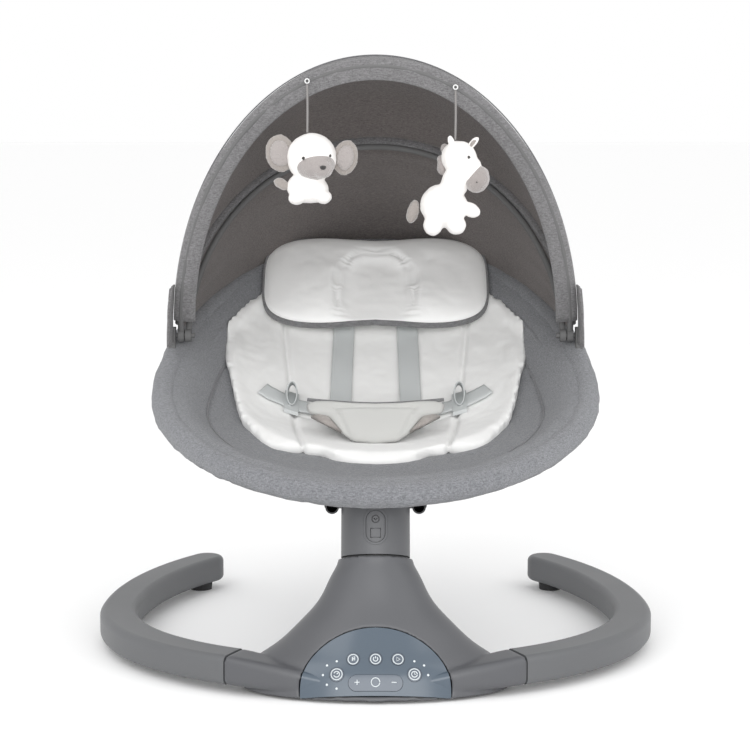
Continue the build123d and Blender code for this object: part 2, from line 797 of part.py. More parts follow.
PANEL_SPAN = 223.4
canopy_front_panel = fabric_arch(
    [(FRONT_BOW_DEG, FRONT_BOW_REACH), (-10, 314), (1, 304), (15, 279), (29, MID_BOW_REACH)],
    PANEL_SPAN, 22)
canopy_rear_panel = fabric_arch(
    [(29.6, 244.5), (40, 250), (52, 264), (63, 268)], PANEL_SPAN, 30)
save(canopy_front_panel, "canopy_front_panel")
save(canopy_rear_panel, "canopy_rear_panel")

with BuildPart() as canopy_tabs:
    for side in (-1, 1):
        with BuildSketch(Plane.YZ.offset(side * (PANEL_SPAN + 1.6))):
            with Locations((PIVOT_Y - 27, PIVOT_Z + 25)):
                RectangleRounded(34, 66, 8)
        extrude(amount=side * 2.4)
save(canopy_tabs.part, "canopy_tabs")

# ---- hanging toys -------------------------------------------------------------------------------------
HOOK_AHEAD, HOOK_MAJOR, HOOK_MINOR = 7.5, 2.2, 0.8
STRING_R = 1.2
MOUSE_X, HORSE_X = -71, 83


def hook_centre(across):
    """Centre of a toy's hook ring, just ahead of the front bow."""
    rise = (FRONT_BOW_REACH - 8) * sqrt(1 - (across / PIVOT_X) ** 2)
    lean = radians(FRONT_BOW_DEG)
    return (across, PIVOT_Y + rise * sin(lean) - HOOK_AHEAD, PIVOT_Z + rise * cos(lean))


def hook_ring(across):
    """Small ring that a toy's string hangs from."""
    with BuildPart() as ring:
        with Locations(Plane(origin=hook_centre(across), z_dir=(0, 1, 0))):
            Torus(HOOK_MAJOR, HOOK_MINOR)
    return ring.part


def toy_string(across, low):
    """Straight string from just under the hook ring down to low."""
    x, y, z = hook_centre(across)
    top = z - HOOK_MAJOR - HOOK_MINOR - 0.4
    with BuildPart() as line:
        with BuildSketch(Plane.XY.offset(low)):
            with Locations((x, y)):
                Circle(STRING_R)
        extrude(amount=top - low)
    return line.part


save(hook_ring(MOUSE_X), "mouse_hook")
save(hook_ring(HORSE_X), "horse_hook")

MOUSE_TOP, MOUSE_HEAD_R = 551, 23
mouse_x, mouse_y, _ = hook_centre(MOUSE_X)
with BuildPart() as mouse_toy:
    with Locations((mouse_x + 3, mouse_y, MOUSE_TOP - MOUSE_HEAD_R)):
        Sphere(MOUSE_HEAD_R, rotation=(0, 0, 90))  # seam at the back, clear of the ears
    with Locations((mouse_x, mouse_y + 2, MOUSE_TOP - 52)):
        Sphere(17, rotation=(0, 0, 90))
    for offset, radius in ((-27.3, 13.6), (30.4, 12.7)):
        with BuildSketch(Plane.XZ.offset(-mouse_y - 2.3)):
            with Locations((mouse_x + offset, MOUSE_TOP - 19)):
                Circle(radius)
        extrude(amount=6)
save(mouse_toy.part, "mouse_toy")
save(toy_string(MOUSE_X, MOUSE_TOP), "mouse_cord")

HORSE_TOP = 543.5
horse_x, horse_y, _ = hook_centre(HORSE_X)
with BuildPart() as horse_toy:
    with Locations((horse_x, horse_y, HORSE_TOP - 19)):
        Sphere(19)
    with Locations((horse_x + 22, horse_y - 4, HORSE_TOP - 38)):
        Sphere(15)
    with Locations((horse_x + 10, horse_y, HORSE_TOP - 28)):
        Sphere(17)
    with Locations((horse_x - 11, horse_y, HORSE_TOP - 69)):
        Sphere(24)
    with Locations((horse_x + 2, horse_y, HORSE_TOP - 49)):
        Sphere(17)
    with Locations((horse_x - 22, horse_y - 3, HORSE_TOP - 86),
                   (horse_x + 2, horse_y - 3, HORSE_TOP - 86)):
        Sphere(11)
save(horse_toy.part, "horse_toy")
save(toy_string(HORSE_X, HORSE_TOP), "horse_cord")
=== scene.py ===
import json
import logging
from dataclasses import dataclass, field
from enum import Enum
from math import atan2, cos, degrees, exp, pi, radians, sin, sqrt
from typing import Callable, Iterable, Sequence

import bmesh
import bpy
from mathutils import Matrix, Vector, noise
from mathutils.bvhtree import BVHTree

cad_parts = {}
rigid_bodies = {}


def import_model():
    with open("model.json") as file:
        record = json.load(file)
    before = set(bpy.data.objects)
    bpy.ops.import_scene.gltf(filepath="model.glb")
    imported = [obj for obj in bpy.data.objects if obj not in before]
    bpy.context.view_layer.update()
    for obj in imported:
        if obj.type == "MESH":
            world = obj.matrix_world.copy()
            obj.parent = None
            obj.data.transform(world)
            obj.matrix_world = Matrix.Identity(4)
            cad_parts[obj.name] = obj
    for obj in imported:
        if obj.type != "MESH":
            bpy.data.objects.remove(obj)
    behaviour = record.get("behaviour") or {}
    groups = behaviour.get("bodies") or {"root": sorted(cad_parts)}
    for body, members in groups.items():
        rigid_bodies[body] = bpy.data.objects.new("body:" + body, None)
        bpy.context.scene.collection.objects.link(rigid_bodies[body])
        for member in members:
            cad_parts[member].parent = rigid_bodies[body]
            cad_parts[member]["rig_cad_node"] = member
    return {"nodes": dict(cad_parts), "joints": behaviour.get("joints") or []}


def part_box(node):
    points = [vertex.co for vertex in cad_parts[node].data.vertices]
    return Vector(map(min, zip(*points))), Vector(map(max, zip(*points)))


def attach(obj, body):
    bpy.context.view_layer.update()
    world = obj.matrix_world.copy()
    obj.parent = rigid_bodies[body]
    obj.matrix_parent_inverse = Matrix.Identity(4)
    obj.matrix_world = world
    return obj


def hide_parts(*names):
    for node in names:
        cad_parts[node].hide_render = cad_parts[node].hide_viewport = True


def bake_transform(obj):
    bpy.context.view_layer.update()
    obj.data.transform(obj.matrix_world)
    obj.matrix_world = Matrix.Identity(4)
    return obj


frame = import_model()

logging.basicConfig(level=logging.INFO, format="%(message)s")
log = logging.getLogger("swing")
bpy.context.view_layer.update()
MM = 0.001
X_AXIS, Y_AXIS, Z_AXIS = Vector((1, 0, 0)), Vector((0, 1, 0)), Vector((0, 0, 1))
Colour = tuple[float, float, float]
Point = Sequence[float]


# ---- shader maths ----------------------------------------------------------------------
class Wire:
    """One node output that can be used in ordinary arithmetic."""

    def __init__(self, shader: "Shader", socket: bpy.types.NodeSocket) -> None:
        """Keep the socket and the shader that it belongs to."""
        self.shader = shader
        self.socket = socket

    def _math(self, operation: str, *values: "Wire | float") -> "Wire":
        """Add one Math node."""
        return self.shader.node("ShaderNodeMath", {"operation": operation}, dict(enumerate(values)))

    def __add__(self, other: "Wire | float") -> "Wire":
        """Sum."""
        return self._math("ADD", self, other)

    __radd__ = __add__

    def __mul__(self, other: "Wire | float") -> "Wire":
        """Product."""
        return self._math("MULTIPLY", self, other)

    __rmul__ = __mul__

    def __sub__(self, other: "Wire | float") -> "Wire":
        """Difference."""
        return self._math("SUBTRACT", self, other)

    def __rsub__(self, other: float) -> "Wire":
        """Reflected difference, such as 1 - mask."""
        return self._math("SUBTRACT", other, self)

    def __pow__(self, power: float) -> "Wire":
        """Power."""
        return self._math("POWER", self, power)


class Shader:
    """A material's node tree, with a short way to add any node."""

    def __init__(self, name: str, roughness: float, **constants: float) -> None:
        """Start a principled material.

        Args:
            name: The material's name.
            roughness: Roughness where nothing varies it.
            constants: Values for the shader's own sockets, with _ for a space.
        """
        self.material = bpy.data.materials.new(name)
        self.material.use_nodes = True
        self.tree = self.material.node_tree
        self.surface = self.tree.nodes["Principled BSDF"]
        self.surface.inputs["Roughness"].default_value = roughness
        for key, value in constants.items():
            self.surface.inputs[key.replace("_", " ")].default_value = value

    def node(self, kind: str, settings: dict, inputs: dict, output: int | str = 0) -> Wire:
        """Add a node.

        Args:
            kind: The node's type name.
            settings: Attributes that are set first; ramp stops go under "stops".
            inputs: Values or wires, by socket name or number.
            output: The output to return.

        Returns:
            The chosen output.
        """
        made = self.tree.nodes.new(kind)
        stops = settings.pop("stops", None)
        for key, value in settings.items():
            setattr(made, key, value)
        if stops:
            while len(made.color_ramp.elements) < len(stops):
                made.color_ramp.elements.new(1.0)
            for element, (place, colour) in zip(made.color_ramp.elements, stops):
                element.position = place
                element.color = (*colour, 1)
        for key, value in inputs.items():
            if isinstance(value, Wire):
                self.tree.links.new(value.socket, made.inputs[key])
            else:
                made.inputs[key].default_value = value
        return Wire(self, made.outputs[output])

    def place(self, stretch: Point = (1, 1, 1)) -> Wire:
        """Object coordinates in metres, stretched along each axis."""
        where = self.node("ShaderNodeTexCoord", {}, {}, "Object")
        return self.node("ShaderNodeMapping", {}, {"Vector": where, "Scale": tuple(stretch)})

    def noise(self, scale: float, detail: float = 2.0, stretch: Point = (1, 1, 1)) -> Wire:
        """Cloudy value between 0 and 1."""
        return self.node("ShaderNodeTexNoise", {},
                         {"Vector": self.place(stretch), "Scale": scale, "Detail": detail})

    def waves(self, scale: float, direction: str, warp: float = 0.0) -> Wire:
        """Parallel ridges between 0 and 1."""
        return self.node("ShaderNodeTexWave", {"bands_direction": direction},
                         {"Vector": self.place(), "Scale": scale, "Distortion": warp,
                          "Detail": 1.0})

    def blend(self, factor: Wire, low: Colour, high: Colour) -> Wire:
        """Colour between low and high."""
        return self.node("ShaderNodeMix", {"data_type": "RGBA"},
                         {"Factor": factor, 6: (*low, 1), 7: (*high, 1)}, 2)

    def colour(self, wire: Wire) -> None:
        """Drive the base colour."""
        self.tree.links.new(wire.socket, self.surface.inputs["Base Color"])

    def roughness(self, wire: Wire) -> None:
        """Drive the roughness."""
        self.tree.links.new(wire.socket, self.surface.inputs["Roughness"])

    def bump(self, height: Wire, strength: float, depth: float) -> None:
        """Drive the normal from a height."""
        bump = self.node("ShaderNodeBump", {},
                         {"Height": height, "Strength": strength, "Distance": depth}, "Normal")
        self.tree.links.new(bump.socket, self.surface.inputs["Normal"])


# ---- finishes --------------------------------------------------------------------------
def shade(colour: Colour, factor: float) -> Colour:
    """A lighter or darker version of a colour."""
    return tuple(min(1.0, part * factor) for part in colour)


@dataclass(frozen=True)
class MouldedPlastic:
    """Fine-grained moulded plastic, slightly worn and uneven."""

    name: str
    colour: Colour
    roughness: float = 0.42
    grain: float = 1400.0
    relief: float = 0.12

    def make(self) -> bpy.types.Material:
        """Build the material."""
        shader = Shader(self.name, self.roughness, Specular_IOR_Level=0.45)
        cloud = shader.noise(9.0, 4.0)
        shader.colour(shader.blend(cloud, shade(self.colour, 0.93), shade(self.colour, 1.07)))
        shader.roughness(cloud * 0.16 + (self.roughness - 0.08))
        shader.bump(shader.noise(self.grain, 3.0), self.relief, 0.0003)
        return shader.material


@dataclass(frozen=True)
class GlossPanel:
    """Glossy tinted panel with a clear coat."""

    name: str
    colour: Colour

    def make(self) -> bpy.types.Material:
        """Build the material."""
        shader = Shader(self.name, 0.3, Coat_Weight=0.12, Coat_Roughness=0.2,
                        Specular_IOR_Level=0.14)
        cloud = shader.noise(30.0, 3.0)
        shader.colour(shader.blend(cloud, shade(self.colour, 0.9), shade(self.colour, 1.1)))
        shader.roughness(cloud * 0.1 + 0.3)
        return shader.material


@dataclass(frozen=True)
class Melange:
    """Knitted or woven cloth of light and dark fibres."""

    name: str
    dark: Colour
    light: Colour
    thread: float = 1100.0
    contrast: float = 1.0
    relief: float = 0.5
    sheen: float = 0.25

    def make(self) -> bpy.types.Material:
        """Build the material."""
        shader = Shader(self.name, 0.92, Sheen_Weight=self.sheen, Sheen_Roughness=0.6,
                        Specular_IOR_Level=0.18)
        along = shader.noise(self.thread * 0.35, 2.0, (0.35, 1.0, 1.0))
        across = shader.noise(self.thread * 0.5, 2.0, (1.0, 0.5, 0.5))
        cloud = shader.noise(14.0, 3.0)
        fleck = (along * 0.55 + across * 0.4 + cloud * 0.06 - 0.5) * (2.2 * self.contrast) + 0.5
        shader.colour(shader.blend(fleck, self.dark, self.light))
        weave = (shader.waves(self.thread * 0.33, "X", 1.2)
                 + shader.waves(self.thread * 0.33, "DIAGONAL", 1.2) + along * 1.5)
        shader.bump(weave, self.relief, 0.0006)
        return shader.material


@dataclass(frozen=True)
class SoftWhite:
    """Smooth, softly wrinkled light cotton."""

    name: str
    colour: Colour
    relief: float = 0.35

    def make(self) -> bpy.types.Material:
        """Build the material."""
        shader = Shader(self.name, 0.85, Sheen_Weight=0.3, Sheen_Roughness=0.5,
                        Specular_IOR_Level=0.2)
        cloud = shader.noise(11.0, 4.0)
        shader.colour(shader.blend(cloud, shade(self.colour, 0.94), shade(self.colour, 1.03)))
        crease = shader.noise(38.0, 4.0)
        weave = shader.waves(420.0, "X", 0.6) * 0.12 + shader.waves(420.0, "Z", 0.6) * 0.12
        shader.bump(crease * 1.2 + weave, self.relief, 0.0015)
        return shader.material


@dataclass(frozen=True)
class Webbing:
    """Ribbed narrow strap."""

    name: str
    colour: Colour

    def make(self) -> bpy.types.Material:
        """Build the material."""
        shader = Shader(self.name, 0.8, Sheen_Weight=0.15, Specular_IOR_Level=0.25)
        rib = shader.waves(260.0, "Y", 0.3)
        twill = shader.waves(320.0, "DIAGONAL", 0.4)
        mix = rib * 0.5 + twill * 0.5
        shader.colour(shader.blend(mix, shade(self.colour, 0.82), shade(self.colour, 1.1)))
        shader.bump(mix, 0.5, 0.0006)
        return shader.material


@dataclass(frozen=True)
class Plush:
    """Short fluffy pile."""

    name: str
    colour: Colour
    pile: float = 620.0

    def make(self) -> bpy.types.Material:
        """Build the material."""
        shader = Shader(self.name, 1.0, Sheen_Weight=0.8, Sheen_Roughness=0.45,
                        Specular_IOR_Level=0.1)
        fluff = shader.noise(self.pile, 4.0)
        cloud = shader.noise(60.0, 3.0)
        shader.colour(shader.blend(fluff * 0.6 + cloud * 0.4, shade(self.colour, 0.78),
                                   shade(self.colour, 1.12)))
        shader.bump(fluff + cloud * 0.6, 0.9, 0.0016)
        return shader.material


@dataclass(frozen=True)
class Metal:
    """Turned or plated metal."""

    name: str
    colour: Colour
    roughness: float = 0.3

    def make(self) -> bpy.types.Material:
        """Build the material."""
        shader = Shader(self.name, self.roughness, Metallic=1.0)
        streak = shader.noise(300.0, 2.0, (1, 1, 0.1))
        shader.colour(shader.blend(streak, shade(self.colour, 0.85), shade(self.colour, 1.1)))
        shader.roughness(streak * 0.2 + (self.roughness - 0.1))
        return shader.material


class Finish(Enum):
    """Every finish on the swing."""

    CASING = MouldedPlastic("casing", (0.088, 0.09, 0.097))
    LEG = MouldedPlastic("leg", (0.112, 0.115, 0.12), 0.45)
    HUB = MouldedPlastic("hub", (0.096, 0.098, 0.104))
    BLACK = MouldedPlastic("black_plastic", (0.02, 0.02, 0.021), 0.5)
    RUBBER = MouldedPlastic("rubber", (0.03, 0.03, 0.031), 0.8, 700.0, 0.4)
    INNER = MouldedPlastic("inner_plastic", (0.07, 0.07, 0.072), 0.6)
    BOARD = MouldedPlastic("circuit_board", (0.02, 0.12, 0.05), 0.4, 300.0, 0.5)
    PANEL = GlossPanel("panel_slate", (0.008, 0.013, 0.02))
    KEY = GlossPanel("key_slate", (0.014, 0.02, 0.028))
    MARK = MouldedPlastic("printed_mark", (0.62, 0.66, 0.68), 0.5)
    ICON = MouldedPlastic("moulded_icon", (0.05, 0.05, 0.052), 0.5)
    STEEL = Metal("steel", (0.55, 0.55, 0.56))
    COPPER = Metal("copper", (0.75, 0.35, 0.2), 0.35)
    TUBE = Metal("dark_tube", (0.05, 0.05, 0.052), 0.45)
    SEAT = Melange("seat_melange", (0.1, 0.104, 0.114), (0.29, 0.295, 0.312), 2300.0, 1.15)
    SEAM = Melange("seam_thread", (0.12, 0.12, 0.13), (0.22, 0.22, 0.23), 1500.0)
    LINER = SoftWhite("liner_white", (0.82, 0.82, 0.81))
    PAD = SoftWhite("pad_white", (0.5, 0.5, 0.485))
    PILLOW = SoftWhite("pillow_white", (0.95, 0.95, 0.94))
    PIPING = Melange("piping_grey", (0.12, 0.12, 0.125), (0.24, 0.24, 0.245))
    # Colour of the crotch gores: partly grey underside cloth, partly painted shadow.
    TAUPE = Melange("taupe_cloth", (0.3, 0.27, 0.25), (0.42, 0.39, 0.37))
    STRAP = Webbing("strap_webbing", (0.38, 0.395, 0.39))
    CANOPY = Melange("canopy_melange", (0.075, 0.073, 0.076), (0.26, 0.253, 0.258), 2300.0, 1.15)
    LINING = Melange("canopy_lining", (0.07, 0.06, 0.057), (0.19, 0.165, 0.156), 2300.0, 1.1)
    BAND = Melange("canopy_band", (0.085, 0.083, 0.086), (0.27, 0.265, 0.27), 2300.0, 1.15)
    PLUSH = Plush("toy_plush", (0.43, 0.425, 0.415))
    FACE = Plush("toy_face", (0.36, 0.33, 0.32))
    EAR = Plush("toy_ear", (0.33, 0.3, 0.28))
    MUZZLE = Plush("toy_muzzle", (0.33, 0.3, 0.29))
    DARK_FELT = Melange("dark_felt", (0.03, 0.028, 0.027), (0.06, 0.055, 0.053))
    STRING = Webbing("twisted_string", (0.23, 0.22, 0.215))

    @property
    def material(self) -> bpy.types.Material:
        """The material of this name if the file already has one, or else a new one."""
        return bpy.data.materials.get(self.value.name) or self.value.make()


# ---- mesh helpers ----------------------------------------------------------------------
def piece(name: str, verts: Iterable[Point], faces: Iterable[Sequence[int]], finish: Finish,
          body: str) -> bpy.types.Object:
    """Make a smooth mesh object that rides on a body.

    Args:
        name: Object name.
        verts: Corner positions in metres.
        faces: Corner numbers of each face.
        finish: Finish of the whole piece.
        body: Body that carries it.

    Returns:
        The new object.
    """
    mesh = bpy.data.meshes.new(name)
    mesh.from_pydata([tuple(v) for v in verts], [], [tuple(f) for f in faces])
    return dress(name, mesh, finish, body)


def dress(name: str, mesh: bpy.types.Mesh, finish: Finish, body: str) -> bpy.types.Object:
    """Tidy a mesh, give it its finish and let it ride on a body."""
    work = bmesh.new()
    work.from_mesh(mesh)
    bmesh.ops.remove_doubles(work, verts=work.verts, dist=1e-6)
    bmesh.ops.recalc_face_normals(work, faces=work.faces)
    work.to_mesh(mesh)
    work.free()
    mesh.materials.clear()
    mesh.materials.append(finish.material)
    for polygon in mesh.polygons:
        polygon.use_smooth = True
    made = bpy.data.objects.new(name, mesh)
    bpy.context.scene.collection.objects.link(made)
    if body:
        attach(made, body)
    log.info("%s: %d faces on %s", name, len(mesh.polygons), body)
    return made


def apply_modifiers(thing: bpy.types.Object) -> None:
    """Replace the mesh by its evaluated result and drop the modifiers."""
    bpy.context.view_layer.update()
    graph = bpy.context.evaluated_depsgraph_get()
    done = bpy.data.meshes.new_from_object(thing.evaluated_get(graph))
    thing.modifiers.clear()
    thing.data = done


def modify(thing: bpy.types.Object, kind: str, **settings: object) -> None:
    """Add one modifier and apply it at once."""
    modifier = thing.modifiers.new(kind.lower(), kind)
    for key, value in settings.items():
        setattr(modifier, key, value)
    apply_modifiers(thing)
    for polygon in thing.data.polygons:
        polygon.use_smooth = True


def grid_faces(rows: int, columns: int, wrap_rows: bool, wrap_columns: bool) -> list:
    """Faces of a grid of points, row by row."""
    faces = []
    for r in range(rows if wrap_rows else rows - 1):
        for c in range(columns if wrap_columns else columns - 1):
            r2, c2 = (r + 1) % rows, (c + 1) % columns
            faces.append((r * columns + c, r * columns + c2, r2 * columns + c2, r2 * columns + c))
    return faces


def tube_mesh(line: Sequence[Vector], section: Callable[[int, float], tuple[float, float]],
              sides: int, closed: bool, up: Vector = Z_AXIS) -> tuple[list, list]:
    """Sweep a section along a line.

    Args:
        line: Points along the middle.
        section: Gives (across, up) offsets for a point's number and a turn in radians.
        sides: Points round the section.
        closed: True if the line closes on itself.
        up: Direction that the section's second offset leans to.

    Returns:
        Vertices and faces.
    """
    verts, count = [], len(line)
    for i, middle in enumerate(line):
        ahead = line[(i + 1) % count] if closed or i < count - 1 else middle
        behind = line[i - 1] if closed or i > 0 else middle
        along = (ahead - behind).normalized()
        across = along.cross(up)
        across = across.normalized() if across.length > 1e-6 else along.orthogonal().normalized()
        top = across.cross(along).normalized()
        for k in range(sides):
            a, b = section(i, 2 * pi * k / sides)
            verts.append(middle + across * a + top * b)
    faces = grid_faces(count, sides, closed, True)
    if not closed:
        faces.append(tuple(range(sides)))
        faces.append(tuple(range((count - 1) * sides, count * sides)))
    return verts, faces


def cord_tube(name: str, line: Sequence[Vector], radius: float, finish: Finish, body: str,
              closed: bool = False, sides: int = 10) -> bpy.types.Object:
    """Round tube along a line, such as piping or a bent wire."""
    verts, faces = tube_mesh(line, lambda i, t: (radius * cos(t), radius * sin(t)), sides, closed)
    return piece(name, verts, faces, finish, body)


def join(parts: Sequence[bpy.types.Object], name: str) -> bpy.types.Object:
    """Merge pieces of one body into the first, keeping each one's material."""
    main = parts[0]
    work = bmesh.new()
    materials = []
    for part in parts:
        for material in part.data.materials:
            if material not in materials:
                materials.append(material)
        start = len(work.faces)
        work.from_mesh(part.data)
        work.faces.ensure_lookup_table()
        own = [materials.index(m) for m in part.data.materials]
        for f in list(work.faces)[start:]:
            f.material_index = own[min(f.material_index, len(own) - 1)]
    mesh = bpy.data.meshes.new(name)
    work.to_mesh(mesh)
    work.free()
    for material in materials:
        mesh.materials.append(material)
    for polygon in mesh.polygons:
        polygon.use_smooth = True
    for part in parts[1:]:
        bpy.data.objects.remove(part)
    main.data = mesh
    main.name = name
    return main


def copy_of(node: str) -> bpy.types.Mesh:
    """Copy of a frame part's mesh."""
    return frame["nodes"][node].data.copy()


def surface_of(things: Iterable[bpy.types.Object]) -> BVHTree:
    """Search tree over the shown surfaces of some objects."""
    verts, faces = [], []
    for thing in things:
        start = len(verts)
        verts += [v.co.copy() for v in thing.data.vertices]
        faces += [tuple(start + i for i in p.vertices) for p in thing.data.polygons]
    return BVHTree.FromPolygons(verts, faces)


def drop(tree: BVHTree, x: float, y: float, high: float = 0.7) -> tuple[Vector, Vector]:
    """Point and normal that a plumb line meets first at x, y."""
    hit, normal, _, _ = tree.ray_cast(Vector((x, y, high)), -Z_AXIS)
    if hit is None:
        return Vector((x, y, 0)), Z_AXIS
    return hit, normal if normal.z > 0 else -normal


def fabric_noise(p: Vector, scale: float, depth: float) -> float:
    """Soft uneven height for puckers and creases."""
    return noise.fractal(p * scale, 0.6, 2.0, 3) * depth


def padded_from(node: str, name: str, finish: Finish, body: str, voxel: float,
                swell: float, cap: float) -> bpy.types.Object:
    """Stuffed fabric shape grown from a frame solid by cloth simulation.

    Args:
        node: Frame solid that it stands for.
        name: Name of the new piece.
        finish: Its fabric.
        body: Body that carries it.
        voxel: Remesh size in metres.
        swell: Cloth pressure.
        cap: Furthest that a point may move.

    Returns:
        The padded piece.
    """
    thing = dress(name, copy_of(node), finish, "")
    modify(thing, "REMESH", mode="VOXEL", voxel_size=voxel, use_smooth_shade=True)
    modify(thing, "SMOOTH", factor=0.5, iterations=3)
    rest = [v.co.copy() for v in thing.data.vertices]
    cloth = thing.modifiers.new("cloth", "CLOTH")
    cloth.settings.use_pressure = True
    cloth.settings.uniform_pressure_force = swell
    cloth.settings.effector_weights.gravity = 0.0
    cloth.settings.quality = 4
    cloth.point_cache.frame_start, cloth.point_cache.frame_end = 1, 20
    for step in range(1, 21):
        bpy.context.scene.frame_set(step)
    apply_modifiers(thing)
    for vertex, start in zip(thing.data.vertices, rest):
        move = vertex.co - start
        if move.length > cap:
            vertex.co = start + move * (cap / move.length)
    bpy.context.scene.frame_set(1)
    modify(thing, "SMOOTH", factor=0.5, iterations=4)
    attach(thing, body)
    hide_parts(node)
    return thing


def sew(thing: bpy.types.Object, depth: Callable[[Vector], float], pucker: float) -> None:
    """Press sewn channels into a padded piece along its normals."""
    moves = []
    for vertex in thing.data.vertices:
        sink = depth(vertex.co)
        moves.append(vertex.normal * (fabric_noise(vertex.co, 26.0, pucker) - sink))
    for vertex, move in zip(thing.data.vertices, moves):
        vertex.co += move


def soft_square(wave: float) -> float:
    """Sine pushed toward a square wave, for flat bands with round edges."""
    return abs(wave) ** 0.45 * (1 if wave > 0 else -1)


def near(distance: float, width: float) -> float:
    """Bell that is 1 at no distance and fades out over width."""
    return exp(-(distance / width) ** 2)


# ---- the swing's own lines -------------------------------------------------------------
@dataclass
class RimLine:
    """Egg-shaped line of the seat rim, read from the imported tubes."""

    tilt: float = radians(22)
    tube: float = 8.5 * MM

    def __post_init__(self) -> None:
        """Work the line's radii out from the tubes' boxes."""
        low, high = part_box("rim_front_tube")
        _, rear_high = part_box("rim_rear_tube")
        self.half = high[0] - self.tube
        self.centre = Vector((0, high[1] - self.tube * sin(self.tilt),
                              high[2] - self.tube * cos(self.tilt)))
        self.front = (self.centre.y - low[1] - self.tube) / cos(self.tilt)
        self.rear = (rear_high[1] - self.centre.y - self.tube) / cos(self.tilt)
        self.up_slope = Vector((0, cos(self.tilt), sin(self.tilt)))
        self.normal = Vector((0, -sin(self.tilt), cos(self.tilt)))

    def point(self, turn: float, inset: float = 0.0, lift: float = 0.0) -> Vector:
        """Point on the rim at a turn, moved inward and off the rim's plane."""
        reach = self.rear if sin(turn) > 0 else self.front
        return (self.centre + X_AXIS * (self.half - inset) * cos(turn)
                + self.up_slope * (reach - inset) * sin(turn) + self.normal * lift)

    def loop(self, count: int, inset: float = 0.0, lift: float = 0.0) -> list[Vector]:
        """Whole line as a closed loop."""
        return [self.point(2 * pi * i / count, inset, lift) for i in range(count)]


@dataclass
class CanopyFan:
    """Half-oval arches that fan about the canopy's pivot axis."""

    def __post_init__(self) -> None:
        """Read the pivot, the panels' span and their crown line."""
        fold = next(j for j in frame["joints"] if j["name"] == "canopy_fold")
        self.pivot = Vector(fold["pos_m"])
        self.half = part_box("canopy_front_panel")[1][0]
        highest: dict[int, float] = {}
        for node in ("canopy_front_panel", "canopy_rear_panel"):
            for vertex in frame["nodes"][node].data.vertices:
                away = vertex.co - self.pivot
                if abs(away.x) < 0.25 * self.half:
                    lean = round(degrees(atan2(away.y, away.z)))
                    crown = Vector((0, away.y, away.z)).length / sqrt(
                        1 - (away.x / self.half) ** 2)
                    highest[lean] = max(highest.get(lean, 0.0), crown)
        self.crown = sorted(highest.items())

    def direction(self, lean: float) -> Vector:
        """Outward direction of the arch that leans back by lean degrees."""
        return Vector((0, sin(radians(lean)), cos(radians(lean))))

    def reach(self, lean: float) -> float:
        """Arch height at a lean, between the crown points read from the panels."""
        if lean <= self.crown[0][0]:
            return self.crown[0][1]
        for (a, low), (b, high) in zip(self.crown, self.crown[1:]):
            if lean <= b:
                return low + (high - low) * (lean - a) / (b - a)
        return self.crown[-1][1]

    def smooth_reach(self, lean: float) -> float:
        """Arch height with the corners between the stops eased."""
        offsets = (-4, -2, 0, 2, 4)
        return sum(self.reach(lean + o) for o in offsets) / len(offsets)

    def point(self, lean: float, turn: float, inset: float = 0.0) -> Vector:
        """Point on an arch; turn runs from 0 at +X to pi at -X."""
        reach = self.smooth_reach(lean) - inset
        return (self.pivot + X_AXIS * (self.half - inset) * cos(turn)
                + self.direction(lean) * reach * sin(turn))


# ---- floor base ------------------------------------------------------------------------
@dataclass
class PlainParts:
    """Finishes of the frame parts, on every sub-assembly, that have no piece of their own."""

    plain: dict[str, Finish] = field(default_factory=lambda: {
        "left_leg": Finish.LEG, "right_leg": Finish.LEG, "front_feet": Finish.RUBBER,
        "leg_feet": Finish.RUBBER, "panel_lens": Finish.PANEL, "key_mat": Finish.RUBBER,
        "indicator_lights": Finish.MARK, "control_board": Finish.BOARD,
        "speaker": Finish.INNER, "drive_coil": Finish.COPPER, "coil_bracket": Finish.INNER,
        "dc_socket": Finish.BLACK, "bearing_carrier": Finish.INNER,
        "shaft_bearings": Finish.STEEL, "dust_ring": Finish.BLACK,
        "housing_screws": Finish.STEEL, "base_bottom_cover": Finish.INNER,
        "power_key": Finish.KEY, "music_key": Finish.KEY, "play_key": Finish.KEY,
        "speed_key": Finish.KEY, "timer_key": Finish.KEY, "volume_rocker": Finish.KEY,
        "hub_shell": Finish.HUB, "swing_shaft": Finish.STEEL, "encoder_disc": Finish.INNER,
        "magnet_arm": Finish.INNER, "drive_magnet": Finish.STEEL,
        "retaining_ring": Finish.STEEL, "button_surround": Finish.HUB,
        "button_spring": Finish.STEEL, "release_button": Finish.HUB,
        "seat_bracket": Finish.BLACK, "support_tubes": Finish.TUBE,
        "rim_front_tube": Finish.TUBE, "rim_rear_tube": Finish.TUBE,
        "strap_adjusters": Finish.STRAP, "buckle_housing": Finish.BLACK,
        "buckle_button": Finish.BLACK, "canopy_pivots": Finish.INNER,
        "mid_bow": Finish.INNER, "front_bow": Finish.INNER, "mouse_hook": Finish.STEEL,
        "horse_hook": Finish.STEEL})

    def build(self) -> None:
        """Give each part its finish."""
        for node, finish in self.plain.items():
            thing = frame["nodes"][node]
            thing.data.materials.clear()
            thing.data.materials.append(finish.material)


